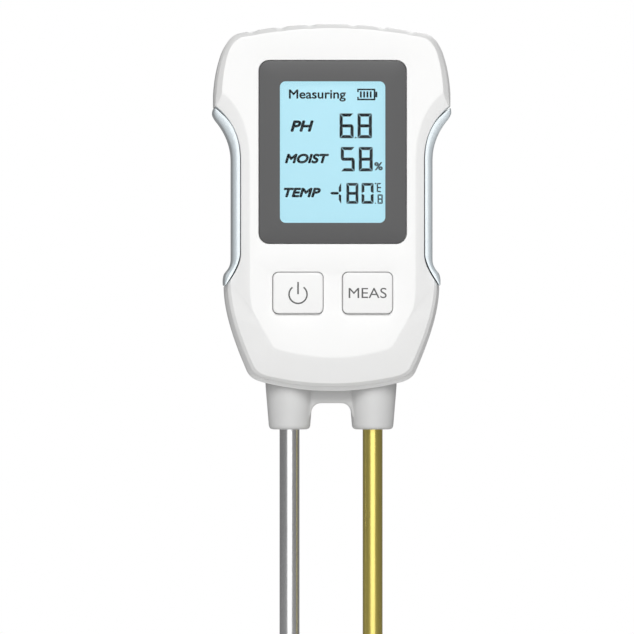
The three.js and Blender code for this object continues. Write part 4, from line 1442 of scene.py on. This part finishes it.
def button_cap(node, settings):
    """A cap with a stem and a flange behind the housing's face, set back by what its print takes up."""
    x, _, z = cad_middle(node)
    face = cad_box(node)[0].y + PRINT
    rings = [circle_y(STEM_RADIUS, x, z, y) for y in (STEM_BACK, FLANGE_BACK)]
    rings += [rounded_rect(*BUTTON_FLANGE, x, z, y) for y in (FLANGE_BACK, FLANGE_FRONT)]
    rings.append(rounded_rect(*BUTTON, x, z, FLANGE_FRONT))
    rings += rounded_edge(*BUTTON, x, z, face, settings.button_edge / MM, 6)
    return closed_solid("button", rings)


def power_mark():
    """A broken ring with a bar in its gap."""
    x, y, z = cad_middle("power_button").x, cad_box("power_button")[0].y, 54.4
    outer, inner, gap = 2.44, 2.06, math.radians(38)
    start = math.pi / 2 + gap
    corners = []
    for radius, deep in ((inner, 0), (outer, 0), (outer, PRINT), (inner, PRINT)):
        corners.append((x + radius * math.cos(start), y + deep, z + radius * math.sin(start)))
    bm = bmesh.new()
    profile = start_loop(bm, corners)
    edges = loop_edges(bm, profile)
    made = bmesh.ops.spin(
        bm,
        geom=profile + edges,
        cent=(x, y, z),
        axis=(0, -1, 0),
        angle=2 * (math.pi - gap),
        steps=48,
    )
    last_edges = [item for item in made["geom_last"] if isinstance(item, bmesh.types.BMEdge)]
    for end in (edges, last_edges):
        bmesh.ops.contextual_create(bm, geom=end)
    add_rect(bm, x - 0.2, x + 0.2, 54.45, 57.5, y + PRINT)
    return blank("power mark", bm)


def measure_word():
    x, y = cad_middle("measure_button").x, cad_box("measure_button")[0].y
    return lettering("MEAS", x - 4.75, x + 4.75, 53.5, 2.5, y + PRINT / 2)


# ------------------------------------------------------------------ probes and their holder


# Turned profiles are pairs of radius and Z.
PROBE_RADIUS = 2.5
SKIRT_HALF_WIDTH, SKIRT_HALF_DEPTH = 16.9, 6.2
PLATE_LOW, PLATE_HALF_WIDTH, PLATE_HALF_DEPTH = 35.2, 18, 8.2
WEB_HALF_DEPTH = 2.4
BLEND_VOXEL = 0.28
COLLAR_TIP = ((0, 0), (4.3, 0), (4.7, 0.1), (4.98, 0.32), (5.16, 0.65), (5.22, 1.0))  # above its foot
COLLAR_TOP = ((6.05, 31.6), (6.05, 36), (0, 36))
BORE = ((0, 19), (2.7, 19), (2.7, 24), (3, 24), (3, 34.6), (1.75, 34.6), (1.75, 39), (0, 39))


def web_outline():
    """The web between the collars, with an arch below."""
    high, low, radius, spring, mid_x = 33, 22.2, 2.45, 24.65, 2.6
    half = [(PROBE_X, high), (PROBE_X, low), (7.2, low), (5.9, 22.9), (5.25, 23.9)]
    half += [(mid_x + radius * math.cos(a), spring + radius * math.sin(a)) for a in quarter_turn(10)]
    return half + [(-x, z) for x, z in reversed(half)]


def skirt_outline():
    """The part of the holder that fills the mouth in the housing's base."""
    start, control, end = Vector((-SKIRT_HALF_WIDTH, 32.7)), Vector((-8.4, 30.7)), Vector((0, 30.7))
    half = [tuple(quadratic(start, control, end, step / 12)) for step in range(13)]
    mirrored = [(-x, z) for x, z in reversed(half[:-1])]
    return half + mirrored + [(SKIRT_HALF_WIDTH, 36), (-SKIRT_HALF_WIDTH, 36)]


def probe_holder():
    """Two tapered collars, the web between them and the plate inside the housing, blended together."""
    low, high = cad_box("probe_holder")
    collar = [(radius, low.z + up) for radius, up in COLLAR_TIP] + [*COLLAR_TOP]
    plate_low = (-PLATE_HALF_WIDTH, -PLATE_HALF_DEPTH, PLATE_LOW)
    plate = box_solid(plate_low, (PLATE_HALF_WIDTH, PLATE_HALF_DEPTH, high.z))
    holder = extruded_y(skirt_outline(), SKIRT_HALF_DEPTH)
    extras = [extruded_y(web_outline(), WEB_HALF_DEPTH), plate]
    extras += [spun(collar, x) for x in (-PROBE_X, PROBE_X)]
    combine(holder, extras, "UNION")
    blend = holder.modifiers.new("blend", "REMESH")
    blend.mode = "VOXEL"
    blend.voxel_size = BLEND_VOXEL
    relax = holder.modifiers.new("relax", "SMOOTH")
    relax.factor = 0.5
    relax.iterations = 5
    apply_modifiers(holder)
    return combine(holder, [spun(BORE, x) for x in (-PROBE_X, PROBE_X)], "DIFFERENCE")


def probe(side, settings, bore_floor=None):
    """A pointed rod with a groove for its seal and a stud. A tubular one has a bore from the top."""
    low, high = cad_box("gold_probe" if side > 0 else "silver_probe")
    tip, tip_tall, point = 0.7, 0.5, settings.point / MM
    groove, stud, bore = 1.85, 1.45, 0.85
    profile = [(0, low.z), (tip / 2, low.z + 0.08)]
    for step in range(9):
        t = step / 8
        radius = tip + (PROBE_RADIUS - tip) * math.sin(t * math.pi / 2) ** 0.9
        profile.append((radius, low.z + tip_tall + (point - tip_tall) * t))
    profile += [(PROBE_RADIUS, 29.2), (groove, 29.2), (groove, 30.8), (PROBE_RADIUS, 30.8)]
    profile += [(PROBE_RADIUS, 34.3), (stud, 34.3), (stud, high.z - 0.2), (stud - 0.2, high.z)]
    if bore_floor is None:
        profile.append((0, high.z))
    else:
        profile += [(bore, high.z), (bore, bore_floor), (0, bore_floor)]
    return spun(profile, side * PROBE_X)


# ------------------------------------------------------------------ battery bay


# A cell's profile as pairs of radius and height above its foot, then radius and depth below its top.
CELL_FOOT = ((0, 0.12), (3.4, 0.12), (3.7, 0), (4.7, 0), (5.1, 0.15), (5.25, 0.5))
CELL_SHOULDER = ((5.25, 1.6), (5.15, 1.25), (4.8, 1.02), (4.3, 1), (4.1, 1.15), (2.2, 1.15))
CELL_TERMINAL = ((2, 1), (1.9, 0.2), (1.7, 0), (0, 0))
JACKET_INSIDE = 5.0  # the ends inside this radius are bare
JACKET_SHARE = 0.72  # of the cell's length from its negative end that has the first colour


def cell(node, side):
    """An AAA cell: jacket with rolled ends, insulating ring and terminal. Face index 1 is bare metal."""
    low, high = cad_box(node)
    middle, tall = cad_middle(node), high.z - low.z
    profile = [*CELL_FOOT] + [(radius, tall - down) for radius, down in CELL_SHOULDER + CELL_TERMINAL]
    solid = spun(profile, 0, 64)
    if side > 0:
        solid.data.transform(Matrix.Translation((0, 0, tall)) @ Matrix.Rotation(math.pi, 4, "X"))
    solid.data.transform(Matrix.Translation((middle.x, middle.y, low.z)))
    band_edge = low.z + tall * (JACKET_SHARE if side < 0 else 1 - JACKET_SHARE)
    cut_band(solid, band_edge)
    for face in solid.data.polygons:
        radius = math.hypot(face.center.x - middle.x, face.center.y - middle.y)
        if radius < JACKET_INSIDE or (band_edge - face.center.z) * side > 0:
            face.material_index = 1
    return solid


def cut_band(solid, z):
    """Adds an edge loop at a height, so that a colour can end there."""
    bm = bmesh.new()
    bm.from_mesh(solid.data)
    whole = bm.verts[:] + bm.edges[:] + bm.faces[:]
    bmesh.ops.bisect_plane(bm, geom=whole, plane_co=(0, 0, z), plane_no=(0, 0, 1))
    bm.to_mesh(solid.data)
    bm.free()


def battery_spring(node, middle, side):
    """A cone spring with a flat end at either side, which gets narrower towards its last turn."""
    low, high = cad_box(node)
    wire, turns, gap, wide, narrow = 0.3, 4.0, 0.02, 3.8, 2.4
    curve = bpy.data.curves.new("spring", "CURVE")
    curve.dimensions = "3D"
    curve.bevel_depth = wire
    curve.bevel_resolution = 3
    curve.use_fill_caps = True
    spline = curve.splines.new("POLY")
    steps = 140
    spline.points.add(steps)
    for step in range(steps + 1):
        t = step / steps
        rise = eased(min(1, max(0, (t - 0.1) / 0.8)))
        radius = wide + (narrow - wide) * t
        up = rise if side < 0 else 1 - rise
        angle = t * turns * 2 * math.pi
        x, y = middle.x + radius * math.cos(angle), middle.y + radius * math.sin(angle)
        z = low.z + wire + gap + (high.z - low.z - 2 * wire - 2 * gap) * up
        spline.points[step].co = (x, y, z, 1)
    return new_object("spring", curve_mesh(curve))


# ------------------------------------------------------------------ operators

SIDES = (("left", -1), ("right", 1))


class SOILMETER_OT_front_shell(bpy.types.Operator):
    """Build the front half of the housing"""

    bl_idname = "soil_meter.front_shell"
    bl_label = "Front shell"

    def execute(self, context):
        shell = front_shell(context.scene.soil_meter.moulding)
        place(shell, "front_shell_moulding", "meter", ["shell_white"], ["front_shell"])
        return {"FINISHED"}


class SOILMETER_OT_rear_shell(bpy.types.Operator):
    """Build the rear half of the housing, with its battery bay and screw wells"""

    bl_idname = "soil_meter.rear_shell"
    bl_label = "Rear shell"

    def execute(self, context):
        shell = rear_shell(context.scene.soil_meter.moulding)
        place(shell, "rear_shell_moulding", "meter", ["shell_white"], ["rear_shell"])
        return {"FINISHED"}


class SOILMETER_OT_side_grips(bpy.types.Operator):
    """Build the silver grips at the waist"""

    bl_idname = "soil_meter.side_grips"
    bl_label = "Side grips"

    def execute(self, context):
        for word, side in SIDES:
            node = f"side_grip_{word}"
            place(side_grip(side), f"{node}_strip", "meter", ["grip_silver"], [node])
        return {"FINISHED"}


class SOILMETER_OT_battery_cover(bpy.types.Operator):
    """Build the battery cover with its latch tongue and hooks"""

    bl_idname = "soil_meter.battery_cover"
    bl_label = "Battery cover"

    def execute(self, context):
        body = node = "battery_cover"
        place(battery_cover(), "battery_cover_plate", body, ["shell_white"], [node])
        return {"FINISHED"}


class SOILMETER_OT_housing_screws(bpy.types.Operator):
    """Build the four screws that hold the housing together"""

    bl_idname = "soil_meter.housing_screws"
    bl_label = "Housing screws"

    def execute(self, context):
        for i, spot in enumerate(SCREW_SPOTS, start=1):
            node = f"housing_screw_{i}"
            place(housing_screw(spot), f"{node}_cross_head", "meter", ["steel"], [node])
        return {"FINISHED"}


class SOILMETER_OT_display(bpy.types.Operator):
    """Build the lens, the lit display glass and what the display shows"""

    bl_idname = "soil_meter.display"
    bl_label = "Display"

    def execute(self, context):
        settings = context.scene.soil_meter.display
        lens, lens_finishes = display_lens(settings), ["lens_border", "lens_clear"]
        place(lens, "lens_window", "meter", lens_finishes, ["display_lens"])
        place(lcd_glass(), "display_glass", "meter", ["lcd_edge", "lcd_lit"], ["lcd_glass"])
        place(display_digits(), "display_digits", "meter", ["lcd_ink"])
        place(display_words(), "display_words", "meter", ["lcd_ink"])
        place(battery_mark(), "display_battery_mark", "meter", ["lcd_ink"])
        return {"FINISHED"}


class SOILMETER_OT_buttons(bpy.types.Operator):
    """Build the power and measure buttons with their printed legends"""

    bl_idname = "soil_meter.buttons"
    bl_label = "Buttons"

    def execute(self, context):
        settings = context.scene.soil_meter.moulding
        for body in ("power_button", "measure_button"):
            cap = button_cap(body, settings)
            place(cap, f"{body}_cap", body, ["button_white"], [body])
        place(power_mark(), "power_mark", "power_button", ["legend_ink"])
        place(measure_word(), "measure_word", "measure_button", ["legend_ink"])
        return {"FINISHED"}


class SOILMETER_OT_probe_holder(bpy.types.Operator):
    """Build the collars that hold the probes"""

    bl_idname = "soil_meter.probe_holder"
    bl_label = "Probe holder"

    def execute(self, context):
        finishes, node = ["holder_white"], "probe_holder"
        place(probe_holder(), "probe_holder_moulding", "meter", finishes, [node], 60)
        return {"FINISHED"}


class SOILMETER_OT_probes(bpy.types.Operator):
    """Build the silver and gold probes"""

    bl_idname = "soil_meter.probes"
    bl_label = "Probes"

    def execute(self, context):
        settings = context.scene.soil_meter.probes
        bore_floor = cad_box("temperature_sensor")[0].z - 0.3
        silver, gold = probe(-1, settings, bore_floor), probe(1, settings)
        place(silver, "silver_probe_rod", "meter", ["probe_silver"], ["silver_probe"])
        place(gold, "gold_probe_rod", "meter", ["probe_gold"], ["gold_probe"])
        return {"FINISHED"}


class SOILMETER_OT_cells(bpy.types.Operator):
    """Build the cells and their springs"""

    bl_idname = "soil_meter.cells"
    bl_label = "Cells and springs"

    def execute(self, context):
        jacket = ["cell_blue", "cell_silver"]
        for word, side in SIDES:
            node, spring = f"battery_{word}", f"battery_spring_{word}"
            place(cell(node, side), f"{node}_cell", "meter", jacket, [node])
            coil = battery_spring(spring, cad_middle(node), side)
            place(coil, f"{spring}_coil", "meter", ["contact_tin"], [spring])
        return {"FINISHED"}


class SOILMETER_OT_inner_pieces(bpy.types.Operator):
    """Give the pieces inside the housing their finishes"""

    bl_idname = "soil_meter.inner_pieces"
    bl_label = "Inner pieces"

    def execute(self, context):
        for row in frame["record"]["subparts"]:
            finish = FINISH_OF_SLOT.get(row["material_slot"], row["material_slot"])
            mesh = frame["nodes"][row["node"]].data
            mesh.materials.clear()
            mesh.materials.append(finish_named(finish))
        return {"FINISHED"}


class SOILMETER_OT_stage(bpy.types.Operator):
    """Set up the floor, the lights and the camera"""

    bl_idname = "soil_meter.stage"
    bl_label = "Stage"

    def execute(self, context):
        settings = context.scene.soil_meter.stage
        add_floor(settings)
        add_surroundings(context.scene, settings)
        for light in SOFT_LIGHTS:
            add_soft_light(*light)
        add_camera(context.scene, settings)
        context.scene.view_settings.view_transform = "Standard"
        return {"FINISHED"}


FLOOR_RADIUS = 1.4
CAMERA_AIM = Vector((-3.93, FACE_Y, 48.75)) * MM
# The soft lights: name, place, what they aim at, width, height and watts, in metres.
SOFT_LIGHTS = (
    ("front_softbox", (0, -1.45, 0.4), (0, 0, 0.07), 1.5, 1.1, 8),
    ("key_softbox", (0, -1.4, 0.9), (0, 0, 0.07), 0.6, 0.5, 13.6),
    ("rear_softbox", (0.5, 1.8, 1.3), (0, 0, 0.02), 1.2, 1.2, 16),
    ("side_softbox", (-1.9, 0.4, 1.2), (0, 0, -0.05), 1.2, 1.2, 4),
)


def add_floor(settings):
    bm = bmesh.new()
    bmesh.ops.create_circle(bm, cap_ends=True, segments=96, radius=FLOOR_RADIUS)
    bmesh.ops.translate(bm, vec=(0, 0, CAD_BOUNDS[0].z), verts=bm.verts)
    mesh = bpy.data.meshes.new("floor")
    bm.to_mesh(mesh)
    bm.free()
    mesh.materials.append(Finish("floor_paint", settings.floor_colour, 0.7).material)
    floor = new_object("floor", mesh)


def add_surroundings(scene, settings):
    """White to look at, and a soft pale grey to be lit by."""
    world = bpy.data.worlds.new("surroundings")
    scene.world = world
    world.use_nodes = True
    tree = world.node_tree
    background = tree.nodes["Background"]
    seen = add_node(tree, "ShaderNodeLightPath").outputs["Is Camera Ray"]
    links = [("Value", seen), ("To Min", settings.surroundings), ("To Max", 1.0)]
    strength = add_node(tree, "ShaderNodeMapRange", links)
    background.inputs["Color"].default_value = (1, 1, 1, 1)
    tree.links.new(strength.outputs["Result"], background.inputs["Strength"])


def add_soft_light(name, spot, target, width, height, power):
    light = bpy.data.lights.new(name, "AREA")
    light.shape = "RECTANGLE"
    light.size, light.size_y = width, height
    light.energy = power
    obj = new_object(name, light)
    obj.location = spot
    obj.rotation_euler = (Vector(target) - Vector(spot)).to_track_quat("-Z", "Y").to_euler()


def add_camera(scene, settings):
    camera = bpy.data.cameras.new("camera")
    camera.sensor_width = 36
    camera.lens = camera.sensor_width * settings.distance / settings.frame_width
    camera.clip_start, camera.clip_end = 0.01, 100
    turn, lift = settings.azimuth, settings.elevation
    level_x, level_y = math.sin(turn) * math.cos(lift), -math.cos(turn) * math.cos(lift)
    back = Vector((level_x, level_y, math.sin(lift)))
    obj = new_object("camera", camera)
    obj.location = CAMERA_AIM + back * settings.distance
    obj.rotation_euler = (-back).to_track_quat("-Z", "Y").to_euler()
    scene.camera = obj


OPERATORS = (
    SOILMETER_OT_stage,
    SOILMETER_OT_inner_pieces,
    SOILMETER_OT_front_shell,
    SOILMETER_OT_rear_shell,
    SOILMETER_OT_side_grips,
    SOILMETER_OT_battery_cover,
    SOILMETER_OT_housing_screws,
    SOILMETER_OT_display,
    SOILMETER_OT_buttons,
    SOILMETER_OT_probe_holder,
    SOILMETER_OT_probes,
    SOILMETER_OT_cells,
)


class SoilMeterSettings(bpy.types.PropertyGroup):
    """All of the meter's settings."""

    moulding: bpy.props.PointerProperty(type=MouldingSettings)
    display: bpy.props.PointerProperty(type=DisplaySettings)
    probes: bpy.props.PointerProperty(type=ProbeSettings)
    stage: bpy.props.PointerProperty(type=StageSettings)


class SOILMETER_PT_panel(bpy.types.Panel):
    """The meter's settings and its build steps"""

    bl_idname = "SOILMETER_PT_panel"
    bl_label = "Soil meter"
    bl_space_type = "VIEW_3D"
    bl_region_type = "UI"
    bl_category = "Soil meter"

    def draw(self, context):
        settings = context.scene.soil_meter
        for group in (settings.moulding, settings.display, settings.probes, settings.stage):
            box = self.layout.box()
            for key in group.bl_rna.properties.keys():
                if key not in ("rna_type", "name"):
                    box.prop(group, key)
        for operator in OPERATORS:
            self.layout.operator(operator.bl_idname)


CLASSES = (
    MouldingSettings,
    DisplaySettings,
    ProbeSettings,
    StageSettings,
    SoilMeterSettings,
    *OPERATORS,
    SOILMETER_PT_panel,
)


def register():
    for cls in CLASSES:
        bpy.utils.register_class(cls)
    bpy.types.Scene.soil_meter = bpy.props.PointerProperty(type=SoilMeterSettings)


def unregister():
    del bpy.types.Scene.soil_meter
    for cls in reversed(CLASSES):
        bpy.utils.unregister_class(cls)


def main():
    register()
    for operator in OPERATORS:
        step = getattr(bpy.ops.soil_meter, operator.bl_idname.split(".")[1])
        if step() != {"FINISHED"}:
            raise RuntimeError(f"{operator.bl_label} was not built")


if __name__ == "__main__":
    main()
